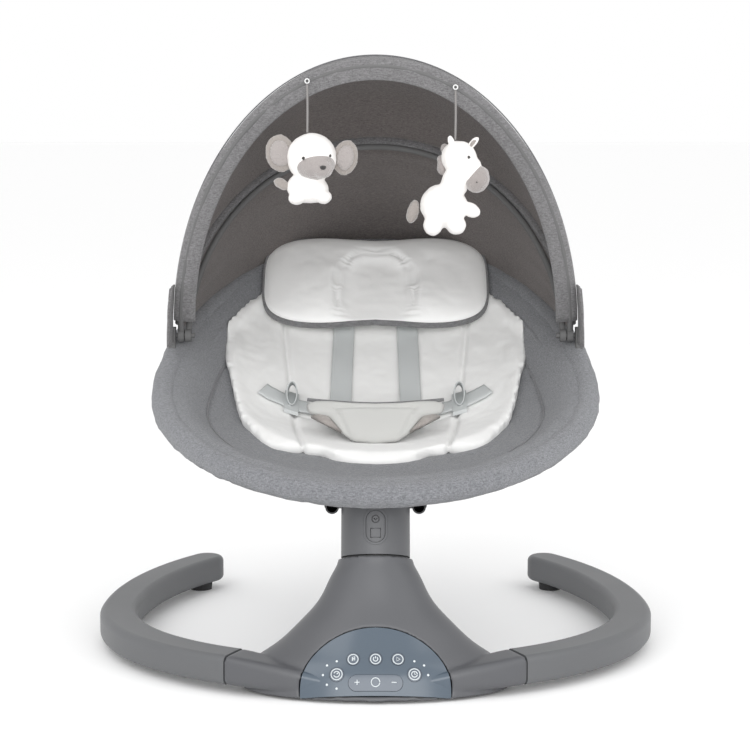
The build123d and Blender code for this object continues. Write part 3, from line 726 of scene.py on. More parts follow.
@dataclass
class FloorBase:
    """Flowing casing, and the symbols on the keys and the release button."""

    voxel: float = 1.7 * MM
    mark_radius: float = 0.5 * MM
    panel_tilt: float = radians(30.7)

    def build(self) -> None:
        """Add the flowing casing and the marks."""
        self.casing()
        self.marks()
        self.hub_icons()

    def casing(self) -> None:
        """Casing with its wings blended into the stem."""
        mesh = copy_of("base_housing")
        thing = dress("casing_shell", mesh, Finish.CASING, "")
        modify(thing, "REMESH", mode="VOXEL", voxel_size=self.voxel, use_smooth_shade=True)
        modify(thing, "SMOOTH", factor=0.5, iterations=10)
        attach(thing, "base")
        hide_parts("base_housing")

    def mark(self, name: str, node: str, shapes: Sequence[Sequence[Point]], body: str,
             closed: bool) -> None:
        """Thin raised print on a key's face.

        Args:
            name: Name of the marks.
            node: Key or lens that carries them.
            shapes: Lines as (across, up) in millimetres from the node's middle.
            body: Body that carries them.
            closed: True if every line closes on itself.
        """
        low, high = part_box(node)
        tilt = self.panel_tilt
        up, out = Vector((0, sin(tilt), cos(tilt))), Vector((0, -cos(tilt), sin(tilt)))
        tree = surface_of([frame["nodes"][node]])
        middle = (Vector(low) + Vector(high)) / 2
        parts = []
        for shape in shapes:
            line = []
            for across, rise in shape:
                start = middle + X_AXIS * across * MM + up * rise * MM + out * 0.05
                hit, _, _, _ = tree.ray_cast(start, -out)
                if hit is not None:
                    line.append(hit + out * 0.0001)
            if len(line) > 1:
                parts.append(cord_tube(name, line, self.mark_radius, Finish.MARK, body,
                                       closed, 6))
        if parts:
            join(parts, name)

    def marks(self) -> None:
        """Generic symbols on the keys."""
        def ring(radius: float, first: float = 0, last: float = 360, n: int = 24) -> list:
            """Arc of points."""
            return [(radius * cos(radians(first + (last - first) * i / n)),
                     radius * sin(radians(first + (last - first) * i / n)))
                    for i in range(n + 1)]
        for node in ("power_key", "music_key", "play_key", "speed_key", "timer_key"):
            size = 5.4 if node in ("speed_key", "timer_key") else 4.9
            self.mark(node + "_ring", node, [ring(size)[:-1]], node, True)
        self.mark("power_symbol", "power_key", [ring(2.2, 130, 410), [(0, 0.6), (0, 3.0)]],
                  "power_key", False)
        self.mark("music_symbol", "music_key",
                  [[(-0.8, -1.8), (-0.8, 2), (1.6, 2.6), (1.6, -1.2)],
                   ring(0.7, 0, 300, 8)], "music_key", False)
        self.mark("play_symbol", "play_key", [[(-1.4, -2), (2.2, 0), (-1.4, 2)]], "play_key", True)
        self.mark("speed_symbol", "speed_key", [ring(2.8, 200, 520), [(0, 0), (1.5, 1.5)]],
                  "speed_key", False)
        self.mark("timer_symbol", "timer_key", [ring(2.8, 0, 350), [(0, 2), (0, 0), (1.5, 0)]],
                  "timer_key", False)
        self.mark("volume_symbols", "volume_rocker",
                  [[(-20.5, 0), (-15.5, 0)], [(-18, -2.5), (-18, 2.5)], [(15.5, 0), (20.5, 0)],
                   ring(4.2, 0, 352)], "volume_rocker", False)

    def hub_icons(self) -> None:
        """Arrow and square on the release button."""
        joint = next(j for j in frame["joints"] if j["name"] == "release_press")
        inward = Vector(joint["axis"])
        up = Vector((0, -inward.z, inward.y))
        low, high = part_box("release_button")
        middle = (Vector(low) + Vector(high)) / 2
        tree = surface_of([frame["nodes"]["release_button"]])
        round_line = [(3.6 * cos(t * pi / 12), 7.4 + 3.6 * sin(t * pi / 12)) for t in range(24)]
        shapes = ((round_line, True), ([(-1.6, 8.2), (0, 6.2), (1.6, 8.2)], False),
                  ([(-5, -11), (5, -11), (5, -2), (-5, -2)], True))
        parts = []
        for shape, closed in shapes:
            line = []
            for a, b in shape:
                start = middle + X_AXIS * a * MM + up * b * MM - inward * 0.05
                hit, _, _, _ = tree.ray_cast(start, inward)
                if hit is not None:
                    line.append(hit)
            parts.append(cord_tube("icon", line, 0.6 * MM, Finish.ICON, "release_button",
                                   closed, 6))
        join(parts, "button_icons")


# ---- padded seat -----------------------------------------------------------------------
@dataclass
class Seat:
    """Rim padding, grey cover, white liner, pillow and harness."""

    rim: RimLine
    rim_count: int = 240
    rim_sides: int = 28
    rim_radius: float = 13.2 * MM
    seam_x: float = 94 * MM
    strap_width: float = 24 * MM
    strap_tuck: float = 56 * MM
    pillow_tilt: float = radians(39.8)
    pad_tilt: float = radians(50)

    def build(self) -> None:
        """Make every soft piece of the seat."""
        self.rim_band()
        self.cover()
        self.apron()
        self.liner()
        self.pillow()
        self.harness()

    def rim_band(self) -> None:
        """Padded band round the rim, with a lapped seam inside and soft puckers."""
        line = self.rim.loop(self.rim_count)

        def section(i: int, turn: float) -> tuple[float, float]:
            """Slightly flattened round, pulled in at the seam."""
            place = line[i]
            seam = near((turn - 2.5) % (2 * pi) - pi, 0.16) * 1.6 * MM
            gather = fabric_noise(place + Vector((0, 0, turn * 0.02)), 55.0, 1.1 * MM)
            size = self.rim_radius - seam + gather
            return size * cos(turn), size * 0.96 * sin(turn)

        verts, faces = tube_mesh(line, section, self.rim_sides, True, self.rim.normal)
        band = piece("rim_band", verts, faces, Finish.SEAT, "seat")
        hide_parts("rim_cover")
        for name, inset, lift in (("rim_welt_inner", 14.0, 2.0), ("rim_welt_lower", 9.0, -9.8)):
            cord_tube(name, self.rim.loop(self.rim_count, inset * MM, lift * MM), 1.0 * MM,
                      Finish.SEAM, "seat", True, 8)

    def apron(self) -> None:
        """Cloth from the rim band down onto the padded cover, with the stitched line on it."""
        tree = surface_of([bpy.data.objects["seat_cover_padded"]])
        count, steps = self.rim_count, 12
        verts = []
        for layer in (0.0, 2.0 * MM):
            for k in range(steps + 1):
                t = k / steps
                for i in range(count):
                    turn = 2 * pi * i / count
                    start = self.rim.point(turn, 4 * MM, 10 * MM)
                    end = self.rim.point(turn, 46 * MM, 0)
                    hit, _, _, _ = tree.ray_cast(end + self.rim.normal * 0.1, -self.rim.normal)
                    end = (hit if hit is not None else end) + self.rim.normal * 1.5 * MM
                    p = start.lerp(end, t)
                    swell = 6 * MM * sin(pi * t) + fabric_noise(p, 30.0, 1.6 * MM) * sin(pi * t)
                    verts.append(p + self.rim.normal * (swell - layer))
        size = (steps + 1) * count
        outer = grid_faces(steps + 1, count, False, True)
        faces = outer + [tuple(size + j for j in reversed(f)) for f in outer]
        for row in (0, steps):
            faces += [(row * count + i, row * count + (i + 1) % count,
                       size + row * count + (i + 1) % count, size + row * count + i)
                      for i in range(count)]
        piece("seat_apron", verts, faces, Finish.SEAT, "seat")
        edge = [verts[steps * count + i] + self.rim.normal * 0.6 * MM for i in range(count)]
        cord_tube("apron_seam", edge, 0.9 * MM, Finish.SEAM, "seat", True, 8)

    def cover(self) -> None:
        """Grey padded cover of the bowl."""
        cover = padded_from("seat_cover", "seat_cover_padded", Finish.SEAT, "seat",
                            5 * MM, 3.0, 5 * MM)

        def depth(p: Vector) -> float:
            """Stitch line that follows the rim a little inside it."""
            local = p - self.rim.centre
            along = local.dot(self.rim.up_slope)
            reach = self.rim.rear if along > 0 else self.rim.front
            ratio = sqrt((p.x / self.rim.half) ** 2 + (along / reach) ** 2)
            return 3.0 * MM * near(ratio - 0.86, 0.012)

        modify(cover, "SUBSURF", levels=1)
        sew(cover, depth, 1.2 * MM)

    def liner(self) -> None:
        """White liner with two long side seams and a curved seam across the seat."""
        liner = padded_from("seat_liner", "seat_liner_padded", Finish.LINER, "seat",
                            4 * MM, 1.6, 3 * MM)
        modify(liner, "SUBSURF", levels=1)

        def depth(p: Vector) -> float:
            """Long seams at the sides of the back and across the seat."""
            side = near(abs(p.x) - self.seam_x - 0.12 * (p.y - 0.05), 3.2 * MM)
            fold = near(p.y - 0.015 - 0.9 * p.x * p.x, 5 * MM) * (abs(p.x) < 0.1)
            return 4.5 * MM * side + 2.5 * MM * fold

        sew(liner, depth, 0.9 * MM)

    def pillow(self) -> None:
        """Crowned head pillow with a head recess, a grey gusset and piping."""
        low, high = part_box("head_pillow")
        tilt = self.pillow_tilt
        up_slope, out = Vector((0, cos(tilt), sin(tilt))), Vector((0, -sin(tilt), cos(tilt)))
        middle = Vector((0, (low[1] + high[1]) / 2, (low[2] + high[2]) / 2))
        half_w, half_l, thick = high[0] - 1 * MM, 74 * MM, 13 * MM
        middle = middle + out * 1 * MM

        def outline(turn: float) -> tuple[float, float]:
            """Rounded rectangle with a slight dip at the middle of its long sides."""
            c, s = cos(turn), sin(turn)
            power = 2 / 4.2
            x = half_w * abs(c) ** power * (1 if c > 0 else -1)
            y = half_l * abs(s) ** power * (1 if s > 0 else -1)
            return x * (1 - 0.02 * abs(s)), y * (1 - 0.1 * near(x, 0.05))

        def height(x: float, y: float, ring: float) -> float:
            """Crown of the pad, with the head recess and its arch-shaped seam."""
            crown = thick * (1 - ring ** 5) ** 0.6
            arch = sqrt((x / (46 * MM)) ** 2 + (max(0.0, y + 10 * MM) / (52 * MM)) ** 2
                        + (min(0.0, y + 10 * MM) / (200 * MM)) ** 2)
            recess = 11 * MM / (1 + exp(14 * (arch - 0.86)))
            seam = 4.5 * MM * near(arch - 1.0, 0.045)
            return crown - (recess + seam) * (1 - ring ** 8)

        turns, rings = 128, 30
        verts, faces = [], []
        for side in (1, -1):
            start = len(verts)
            for r in range(1, rings + 1):
                ring = (r / rings) ** 0.8
                for t in range(turns):
                    x, y = outline(2 * pi * t / turns)
                    x, y = x * ring, y * ring
                    lift = height(x, y, ring) if side > 0 else -0.75 * thick * (1 - ring ** 5) ** 0.6
                    p = middle + X_AXIS * x + up_slope * y + out * (lift + side * 2.5 * MM)
                    p += out * fabric_noise(p, 22.0, 1.6 * MM) * (1 - ring ** 6)
                    verts.append(p)
            faces += [tuple(start + i for i in f) for f in grid_faces(rings, turns, False, True)]
            faces.append(tuple(range(start, start + turns)))
        pad = piece("head_pillow_padded", verts, faces, Finish.PILLOW, "seat")
        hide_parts("head_pillow")

        def loop(lift: float) -> list[Vector]:
            """Outline of the pillow at a height off its middle."""
            return [middle + X_AXIS * outline(2 * pi * t / 160)[0]
                    + up_slope * outline(2 * pi * t / 160)[1] + out * lift for t in range(160)]

        verts, faces = tube_mesh(
            loop(0), lambda i, t: (1.4 * MM * cos(t) + 0.3 * MM, 3.6 * MM * sin(t)), 12, True, out)
        piece("pillow_gusset", verts, faces, Finish.PIPING, "seat")
        cord_tube("pillow_piping", loop(3.4 * MM), 1.5 * MM, Finish.PIPING, "seat",
                  True)

    def ribbon(self, name: str, tree: BVHTree, line: Sequence[tuple[float, float]], width: float,
               thick: float, lift: float, finish: Finish) -> bpy.types.Object:
        """Flat band laid on a surface along a plan line.

        Args:
            name: Piece name.
            tree: Surface that it lies on.
            line: Plan points in metres.
            width: Band width.
            thick: Band thickness.
            lift: Clearance over the surface.
            finish: Its webbing or cloth.

        Returns:
            The band.
        """
        points = [drop(tree, x, y)[0] for x, y in line]
        for _ in range(6):
            points = [points[0]] + [(a + b * 2 + c) / 4 for a, b, c in
                                    zip(points, points[1:], points[2:])] + [points[-1]]
        verts = []
        for i, p in enumerate(points):
            along = (points[min(i + 1, len(points) - 1)] - points[max(i - 1, 0)]).normalized()
            _, normal = drop(tree, p.x, p.y)
            across = along.cross(normal).normalized()
            up = across.cross(along).normalized()
            for a, b in ((-0.5, 0), (-0.3, 0), (0, 0), (0.3, 0), (0.5, 0),
                         (0.5, 1), (0.3, 1.1), (0, 1.0), (-0.3, 1.1), (-0.5, 1)):
                verts.append(p + across * a * width + up * (lift + b * thick))
        faces = grid_faces(len(points), 10, False, True)
        faces += [tuple(range(10)), tuple(range(len(verts) - 10, len(verts)))]
        band = piece(name, verts, faces, finish, "seat")
        modify(band, "BEVEL", width=0.4 * MM, segments=1, limit_method="ANGLE")
        return band

    def harness(self) -> None:
        """Shoulder and waist straps, crotch pad and its trim."""
        tree = surface_of([bpy.data.objects["seat_liner_padded"]])
        pad_low, pad_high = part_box("crotch_pad")
        for name, side in (("left", -1), ("right", 1)):
            low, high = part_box("shoulder_strap_" + name)
            x = (low[0] + high[0]) / 2
            reach = high[1] - low[1] + self.strap_tuck
            line = [(x - side * 4 * MM * i / 30, low[1] + reach * (i / 30) ** 0.9)
                    for i in range(31)]
            band = self.ribbon("shoulder_webbing_" + name, tree, line, self.strap_width,
                               2.0 * MM, 2.2 * MM, Finish.STRAP)
            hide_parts("shoulder_strap_" + name)
        low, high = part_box("waist_straps")
        y = (low[1] + high[1]) / 2
        for name, side in (("left", -1), ("right", 1)):
            line = [(side * (62 + 66 * i / 24) * MM, y + 10 * MM * (i / 24) ** 2)
                    for i in range(25)]
            band = self.ribbon("waist_webbing_" + name, tree, line, self.strap_width * 0.9,
                               2.0 * MM, 2.2 * MM, Finish.STRAP)
            if side < 0:
                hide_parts("waist_straps")
            self.fold_loop("waist_fold_" + name, tree, side * 90 * MM, y)
        self.crotch_pad(Vector(((pad_low[0] + pad_high[0]) / 2, (pad_low[1] + pad_high[1]) / 2,
                                (pad_low[2] + pad_high[2]) / 2)))

    def fold_loop(self, name: str, tree: BVHTree, x: float, y: float) -> None:
        """Strap's spare end, folded over in an upright loop beside the adjuster."""
        base, normal = drop(tree, x, y)
        base = base + normal * 6 * MM
        line = []
        for i in range(33):
            turn = 2 * pi * i / 32
            line.append(base + X_AXIS * 10 * MM * cos(turn) * 0.55
                        + Vector((0, 0.35, 0.94)) * (13 * MM * sin(turn) + 14 * MM))
        side = Vector((0, 0.94, -0.35))
        verts, faces = tube_mesh(line[:-1], lambda i, t: (
            0.9 * MM * cos(t), 9 * MM * (abs(sin(t)) ** 0.3) * (1 if sin(t) > 0 else -1)), 14,
            True, side)
        piece(name, verts, faces, Finish.STRAP, "seat")

    def crotch_pad(self, middle: Vector) -> None:
        """T-shaped padded piece with side wings, a sewn flap, piping and dark gores that are partly
        grey underside cloth and partly painted shadow.
        """
        tilt = self.pad_tilt
        up_slope, out = Vector((0, cos(tilt), sin(tilt))), Vector((0, -sin(tilt), cos(tilt)))
        hub = (0.0, 8.0)
        corners = [(70, 23), (66, 4), (50, 8), (33, -15), (22, -24), (0, -27), (-22, -24),
                   (-33, -15), (-50, 8), (-66, 4), (-70, 23), (-34, 19), (0, 18), (34, 19)]

        def edge(turn: float) -> float:
            """Distance in millimetres from the hub to the outline at a turn."""
            ray = (cos(turn), sin(turn))
            best = 0.0
            for (ax, ay), (bx, by) in zip(corners, corners[1:] + corners[:1]):
                ax, ay, bx, by = ax - hub[0], ay - hub[1], bx - hub[0], by - hub[1]
                span = ray[0] * (by - ay) - ray[1] * (bx - ax)
                if abs(span) < 1e-9:
                    continue
                far = (ax * (by - ay) - ay * (bx - ax)) / span
                share = (ax * ray[1] - ay * ray[0]) / span
                if far > 0 and -1e-6 <= share <= 1 + 1e-6:
                    best = max(best, far)
            return best

        turns, rings, thick = 180, 22, 9.0
        sizes = [edge(2 * pi * t / turns) for t in range(turns)]
        for _ in range(3):
            sizes = [(sizes[t - 1] + 2 * sizes[t] + sizes[(t + 1) % turns]) / 4
                     for t in range(turns)]

        def place(across: float, rise: float, lift: float) -> Vector:
            """Point of the pad by millimetres from its middle."""
            return middle + (X_AXIS * across * 1.1 + up_slope * (rise * 1.1 - 4) + out * lift) * MM

        def crown(across: float, rise: float, ring: float) -> float:
            """Height of the padded face, with the flap's seam pressed in."""
            side = abs(across) - (31 + 0.42 * (rise + 8))
            flap = near(side, 2.0) * (rise < 12) + near(rise - 12, 2.0) * (abs(across) < 40)
            return thick * (1 - ring ** 4) ** 0.55 - 2.4 * flap * (1 - ring ** 10)

        verts, faces = [], []
        for face in (1, -1):
            start = len(verts)
            for r in range(1, rings + 1):
                ring = (r / rings) ** 0.8
                for t in range(turns):
                    turn = 2 * pi * t / turns
                    across = hub[0] + sizes[t] * ring * cos(turn)
                    rise = hub[1] + sizes[t] * ring * sin(turn)
                    lift = crown(across, rise, ring) if face > 0 else -3.0 * (1 - ring ** 4)
                    verts.append(place(across, rise, lift))
            faces += [tuple(start + i for i in f) for f in grid_faces(rings, turns, False, True)]
            faces.append(tuple(range(start, start + turns)))
        pad = piece("crotch_pad_padded", verts, faces, Finish.PAD, "seat")
        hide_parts("crotch_pad")
        top = [place(-68 + 136 * i / 40, 18 + 5 * (abs(-68 + 136 * i / 40) / 68) ** 1.6, 2.4)
               for i in range(41)]
        cord_tube("crotch_piping", top, 2.0 * MM, Finish.PIPING, "seat")
        # Dark gores between the wings and the seat: partly grey underside cloth, partly painted
        # shadow under the wings.
        for name, side in (("left", -1), ("right", 1)):
            flat = [(64, 4), (50, 7), (34, -14)]
            front = [place(side * a, b, 3.5) for a, b in flat]
            back = [place(side * a, b, -2.0) for a, b in flat]
            gore = [(0, 1, 2), (3, 5, 4), (0, 3, 4, 1), (1, 4, 5, 2), (2, 5, 3, 0)]
            piece("crotch_gore_" + name, front + back, gore, Finish.TAUPE, "seat")


# ---- canopy ----------------------------------------------------------------------------
@dataclass
class Canopy:
    """Front and rear panels, bindings, tabs with snaps and gathered ends."""

    fan: CanopyFan
    rim: RimLine
    front_lean: float = -21.1
    mid_lean: float = 29.3
    end_lean: float = 66.0
    wall: float = 2.4 * MM
    columns: int = 96
    rows: int = 26

    def build(self) -> None:
        """Make the panels, then their trim."""
        self.panel("canopy_front_fabric", "canopy_front_panel", self.front_lean, self.mid_lean,
                   False)
        self.panel("canopy_rear_fabric", "canopy_rear_panel", self.mid_lean, self.end_lean,
                   True)
        self.bindings()
        self.tabs()

    def height(self, lean: float, turn: float, first: float, last: float) -> float:
        """How far the cloth sinks between bows, and its folds near the pivots."""
        t = (lean - first) / (last - first)
        sag = 5 * MM * sin(pi * t) * sin(turn) ** 0.5 if sin(turn) > 0 else 0.0
        edge = 1 - sin(turn)
        folds = 2.2 * MM * edge ** 2 * sin(9 * pi * t) * sin(pi * t)
        wander = fabric_noise(Vector((lean * 0.01, turn * 0.2, 0)), 6.0, 1.5 * MM)
        return sag + folds + wander * sin(pi * t)

    def panel(self, name: str, node: str, first: float, last: float,
              rear: bool) -> None:
        """One curved cloth panel with a dark lining.

        Args:
            name: Piece name.
            node: Frame solid that it stands for.
            first: Lean of its front edge in degrees.
            last: Lean of its rear edge.
            rear: True for the panel behind the middle bow.
        """
        low_turn = 0.085
        verts = []
        for layer in (0.0, self.wall):
            for r in range(self.rows + 1):
                lean = first + (last - first) * r / self.rows
                for c in range(self.columns + 1):
                    turn = low_turn + (pi - 2 * low_turn) * c / self.columns
                    sink = self.height(lean, turn, first, last)
                    p = self.fan.point(lean, turn, sink + layer)
                    if rear:
                        t = r / self.rows
                        ease = t * t * (3 - 2 * t)
                        foot = self.rim.point(0.2 + (pi - 0.4) * (turn / pi), layer, 9 * MM)
                        p = p.lerp(foot, ease * sin(turn) ** 0.3)
                    verts.append(p)
        rows, columns = self.rows + 1, self.columns + 1
        size = rows * columns
        outer = grid_faces(rows, columns, False, False)
        inner = [tuple(size + i for i in reversed(f)) for f in outer]
        border = []
        ring = ([c for c in range(columns)]
                + [r * columns + columns - 1 for r in range(1, rows)]
                + [size - 1 - c for c in range(1, columns)]
                + [r * columns for r in range(rows - 2, 0, -1)])
        for a, b in zip(ring, ring[1:] + ring[:1]):
            border.append((a, b, size + b, size + a))
        cloth = piece(name, verts, outer + inner + border, Finish.CANOPY, "")
        cloth.data.materials.append(Finish.LINING.material)
        centre = self.fan.pivot
        for polygon in cloth.data.polygons:
            away = polygon.center - centre
            polygon.material_index = 1 if polygon.normal.dot(away) < 0 else 0
        edge = self.fan.point(first if not rear else last, pi / 2)
        other = self.fan.point(last if not rear else first, pi / 2)
        if rear:
            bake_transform(cloth)
        else:
            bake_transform(cloth)
        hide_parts(node)
        area = sum(p.area for p in cloth.data.polygons) / 2
        width = pi * (self.fan.half + self.fan.reach(first)) / 2
        area / width

    def arch(self, lean: float, inset: float, start: float = 0.03) -> list[Vector]:
        """Arch line at a lean."""
        return [self.fan.point(lean, start + (pi - 2 * start) * i / 110, inset)
                for i in range(111)]

    def bindings(self) -> None:
        """Bow channels and edge bindings."""
        for name, lean, body, deep, wide in (
                ("front_binding", self.front_lean, "canopy_front", 12.0, 3.2),
                ("mid_binding", self.mid_lean, "canopy_mid", 5.0, 5.0)):
            line = self.arch(lean, (deep - 1.0) * MM, 0.06)
            side = self.fan.direction(lean).cross(X_AXIS)
            verts = []
            for p in line:
                away = (p - self.fan.pivot).normalized()
                for k in range(20):
                    turn = 2 * pi * k / 20
                    pucker = fabric_noise(p, 60.0, 0.5 * MM)
                    verts.append(p + side * (wide * MM + pucker) * cos(turn)
                                 + away * (deep * MM) * soft_square(sin(turn)))
            faces = grid_faces(len(line), 20, False, True)
            faces += [tuple(range(20)), tuple(range(len(verts) - 20, len(verts)))]
            piece(name, verts, faces, Finish.BAND, body)
        for name, lean, body in (("front_stitch", self.front_lean + 3.4, "canopy_front"),
                                 ("mid_stitch", self.mid_lean + 2.6, "canopy_mid")):
            cord_tube(name, self.arch(lean, -0.3 * MM, 0.1), 0.7 * MM, Finish.SEAM, body,
                      False, 6)

    def tabs(self) -> None:
        """Side tabs with a snap and the gathered end of the cloth."""
        low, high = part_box("canopy_tabs")
        centre_y, top, bottom = (low[1] + high[1]) / 2, high[2], low[2]
        for name, side in (("left", -1), ("right", 1)):
            verts = []
            for layer in (0, 1):
                for r in range(15):
                    t = r / 14
                    for c in range(9):
                        u = c / 8 - 0.5
                        z = bottom + (top - bottom) * (1 - t)
                        out = self.fan.half * sqrt(max(0.0, 1 - ((z - self.fan.pivot.z)
                                                                  / 0.3) ** 2))
                        wave = 1.2 * MM * sin(u * 9) * t
                        x = out + (2.0 + 1.8 * layer) * MM + wave
                        y = centre_y + u * 34 * MM * (1 - 0.25 * near(t, 0.2))
                        verts.append(Vector((side * x, y, z)))
            outer = grid_faces(15, 9, False, False)
            inner = [tuple(135 + i for i in f) for f in outer]
            ring = (list(range(9)) + [r * 9 + 8 for r in range(1, 15)]
                    + [134 - c for c in range(1, 9)] + [r * 9 for r in range(13, 0, -1)])
            rim = [(a, b, 135 + b, 135 + a) for a, b in zip(ring, ring[1:] + ring[:1])]
            tab = piece("canopy_tab_" + name, verts, outer + inner + rim, Finish.CANOPY, "seat")
            if side < 0:
                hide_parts("canopy_tabs")
            snap = bmesh.new()
            bmesh.ops.create_uvsphere(snap, u_segments=24, v_segments=10, radius=5.2 * MM)
            mesh = bpy.data.meshes.new("snap")
            snap.to_mesh(mesh)
            snap.free()
            mesh.transform(Matrix.Translation(Vector((side * (self.fan.half + 4.0 * MM), centre_y,
                                                      bottom + 11 * MM)))
                           @ Matrix.Diagonal((0.35, 1, 1, 1)))
            dress("canopy_snap_" + name, mesh, Finish.INNER, "seat")
            for fold in range(4):
                line = []
                for i in range(16):
                    t = i / 15
                    line.append(Vector((
                        side * (self.fan.half + (3 + 2.5 * sin(pi * t)) * MM),
                        centre_y + (20 + 5 * fold) * MM - 3 * MM * sin(2 * pi * t),
                        bottom + 4 * MM + (top - bottom) * 0.85 * t)))
                cord_tube("tab_fold_%s_%d" % (name, fold), line, 2.3 * MM, Finish.CANOPY, "seat")


# ---- toys ------------------------------------------------------------------------------
@dataclass
class Toys:
    """Plush mouse and horse on strings."""

    voxel: float = 1.4 * MM

    def build(self) -> None:
        """Make both toys and their strings."""
        self.mouse()
        self.horse()
        self.enlarge("mouse", 1.13)
        self.enlarge("horse", 1.04)
        self.string("mouse", 1.2 * MM)
        self.string("horse", 1.2 * MM)

    def blob(self, body: str, finish: Finish, parts: Sequence[tuple], name: str,
             fluff: float = 0.5 * MM) -> bpy.types.Object:
        """Merge round parts into one plush shape.

        Args:
            body: Body that carries it.
            finish: Its plush.
            parts: (centre, radii, tilt in degrees about Y) of each part, in metres.
            name: Piece name.
            fluff: Depth of its uneven surface.

        Returns:
            The plush shape.
        """
        work = bmesh.new()
        for centre, radii, tilt in parts:
            turn = (Matrix.Translation(Vector(centre)) @ Matrix.Rotation(radians(tilt), 4, "Y")
                    @ Matrix.Diagonal((*radii, 1)))
            bmesh.ops.create_uvsphere(work, u_segments=32, v_segments=20, radius=1.0, matrix=turn)
        mesh = bpy.data.meshes.new(name)
        work.to_mesh(mesh)
        work.free()
        thing = dress(name, mesh, finish, "")
        modify(thing, "REMESH", mode="VOXEL", voxel_size=self.voxel, use_smooth_shade=True)
        modify(thing, "SMOOTH", factor=0.5, iterations=4)
        for vertex in thing.data.vertices:
            vertex.co += vertex.normal * fabric_noise(vertex.co, 90.0, fluff)
        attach(thing, body)
        return thing

    def enlarge(self, toy: str, factor: float) -> None:
        """Scale a toy's pieces about the point where its string meets it."""
        low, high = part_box(toy + "_toy")
        cord_low, cord_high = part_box(toy + "_cord")
        anchor = Vector(((cord_low[0] + cord_high[0]) / 2, (low[1] + high[1]) / 2, high[2]))
        for thing in bpy.context.scene.objects:
            if thing.type == "MESH" and thing.name.startswith(toy + "_") and not (
                    "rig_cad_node" in thing):
                for vertex in thing.data.vertices:
                    vertex.co = anchor + (vertex.co - anchor) * factor

    def mouse(self) -> None:
        """Mouse with big round ears, a white brow and a soft grey face."""
        low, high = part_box("mouse_toy")
        x = (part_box("mouse_cord")[0][0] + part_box("mouse_cord")[1][0]) / 2
        y, top = (low[1] + high[1]) / 2, high[2]
        head = Vector((x + 4 * MM, y, top - 23 * MM))

        def at(dx: float, dy: float, dz: float) -> Vector:
            """Point by millimetres from the head's centre."""
            return head + Vector((dx, dy, dz)) * MM

        body = self.blob("mouse", Finish.PLUSH, [
            (at(0, 0, 0), (23 * MM, 21 * MM, 22.5 * MM), 0),
            (at(-4, 3, -28), (20 * MM, 15 * MM, 14 * MM), 8),
            (at(-14, -4, -37), (7.5 * MM, 9 * MM, 6.5 * MM), 0),
            (at(11, -4, -36), (7.5 * MM, 9 * MM, 6.5 * MM), 0)], "mouse_body")
        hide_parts("mouse_toy")
        self.blob("mouse", Finish.FACE, [(at(2, -5, -5), (19.5 * MM, 17.5 * MM, 15.5 * MM), 0),
                                         (at(10, -14, -10), (10 * MM, 10 * MM, 8.5 * MM), 0)],
                  "mouse_face")
        self.blob("mouse", Finish.EAR, [
            (at(-29, 2, 4), (14.2 * MM, 4.5 * MM, 17.5 * MM), -8),
            (at(31, 2, 0), (12 * MM, 4.5 * MM, 16.5 * MM), 10),
            (at(-28, 0, -24), (8 * MM, 5 * MM, 5 * MM), 30)], "mouse_ears")
        self.blob("mouse", Finish.FACE, [(at(-29, -2.2, 4), (9.8 * MM, 2.4 * MM, 12.6 * MM), -8),
                                         (at(31, -2.2, 0), (8.2 * MM, 2.4 * MM, 12 * MM), 10)],
                  "mouse_inner_ears", 0.2 * MM)
        self.blob("mouse", Finish.DARK_FELT, [
            (at(-7, -21.0, 0), (2.0 * MM, 1.6 * MM, 2.2 * MM), 0),
            (at(17.5, -19.6, 2), (2.0 * MM, 1.6 * MM, 2.2 * MM), 0),
            (at(11, -24.2, -8.5), (3.4 * MM, 2.2 * MM, 2.6 * MM), 0)], "mouse_eyes_nose", 0.0)

    def horse(self) -> None:
        """Horse with a grey muzzle, a mane tuft, bent legs and a tail."""
        low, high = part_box("horse_toy")
        x = (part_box("horse_cord")[0][0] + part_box("horse_cord")[1][0]) / 2
        y, top = (low[1] + high[1]) / 2, high[2]
        head = Vector((x + 4 * MM, y, top - 18 * MM))

        def at(dx: float, dy: float, dz: float) -> Vector:
            """Point by millimetres from the head's centre."""
            return head + Vector((dx, dy, dz)) * MM

        body = self.blob("horse", Finish.PLUSH, [
            (at(0, 0, 0), (18 * MM, 16 * MM, 17 * MM), 20),
            (at(9, -2, -12), (14 * MM, 14 * MM, 15 * MM), 20),
            (at(-4, 0, -25), (14 * MM, 13 * MM, 18 * MM), 20),
            (at(-15, 0, -48), (24 * MM, 19 * MM, 22 * MM), 10),
            (at(-26, -4, -67), (10 * MM, 10 * MM, 11 * MM), 15),
            (at(-3, -4, -67), (10 * MM, 10 * MM, 10 * MM), -10),
            (at(12, -5, -52), (10 * MM, 7 * MM, 7 * MM), 25)], "horse_body")
        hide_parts("horse_toy")
        self.blob("horse", Finish.MUZZLE, [(at(18, -5, -21), (12.5 * MM, 12 * MM, 14 * MM), 25)],
                  "horse_muzzle")
        self.blob("horse", Finish.PLUSH, [(at(-8, -3, 16), (3.6 * MM, 3 * MM, 7 * MM), -20),
                                          (at(14, -3, 15), (3.6 * MM, 3 * MM, 8 * MM), 40)],
                  "horse_ears")
        self.blob("horse", Finish.EAR, [(at(13.5, -5, 14.5), (2.2 * MM, 2.0 * MM, 5.5 * MM), 40),
                                        (at(-46, 4, -54), (6 * MM, 5 * MM, 12 * MM), 12)],
                  "horse_tail_inner_ear", 1.0 * MM)
        self.blob("horse", Finish.MUZZLE, [(at(-12, 6, 6), (5 * MM, 6 * MM, 9 * MM), -30),
                                           (at(-17, 6, -8), (5 * MM, 6 * MM, 10 * MM), -10)],
                  "horse_mane", 1.4 * MM)
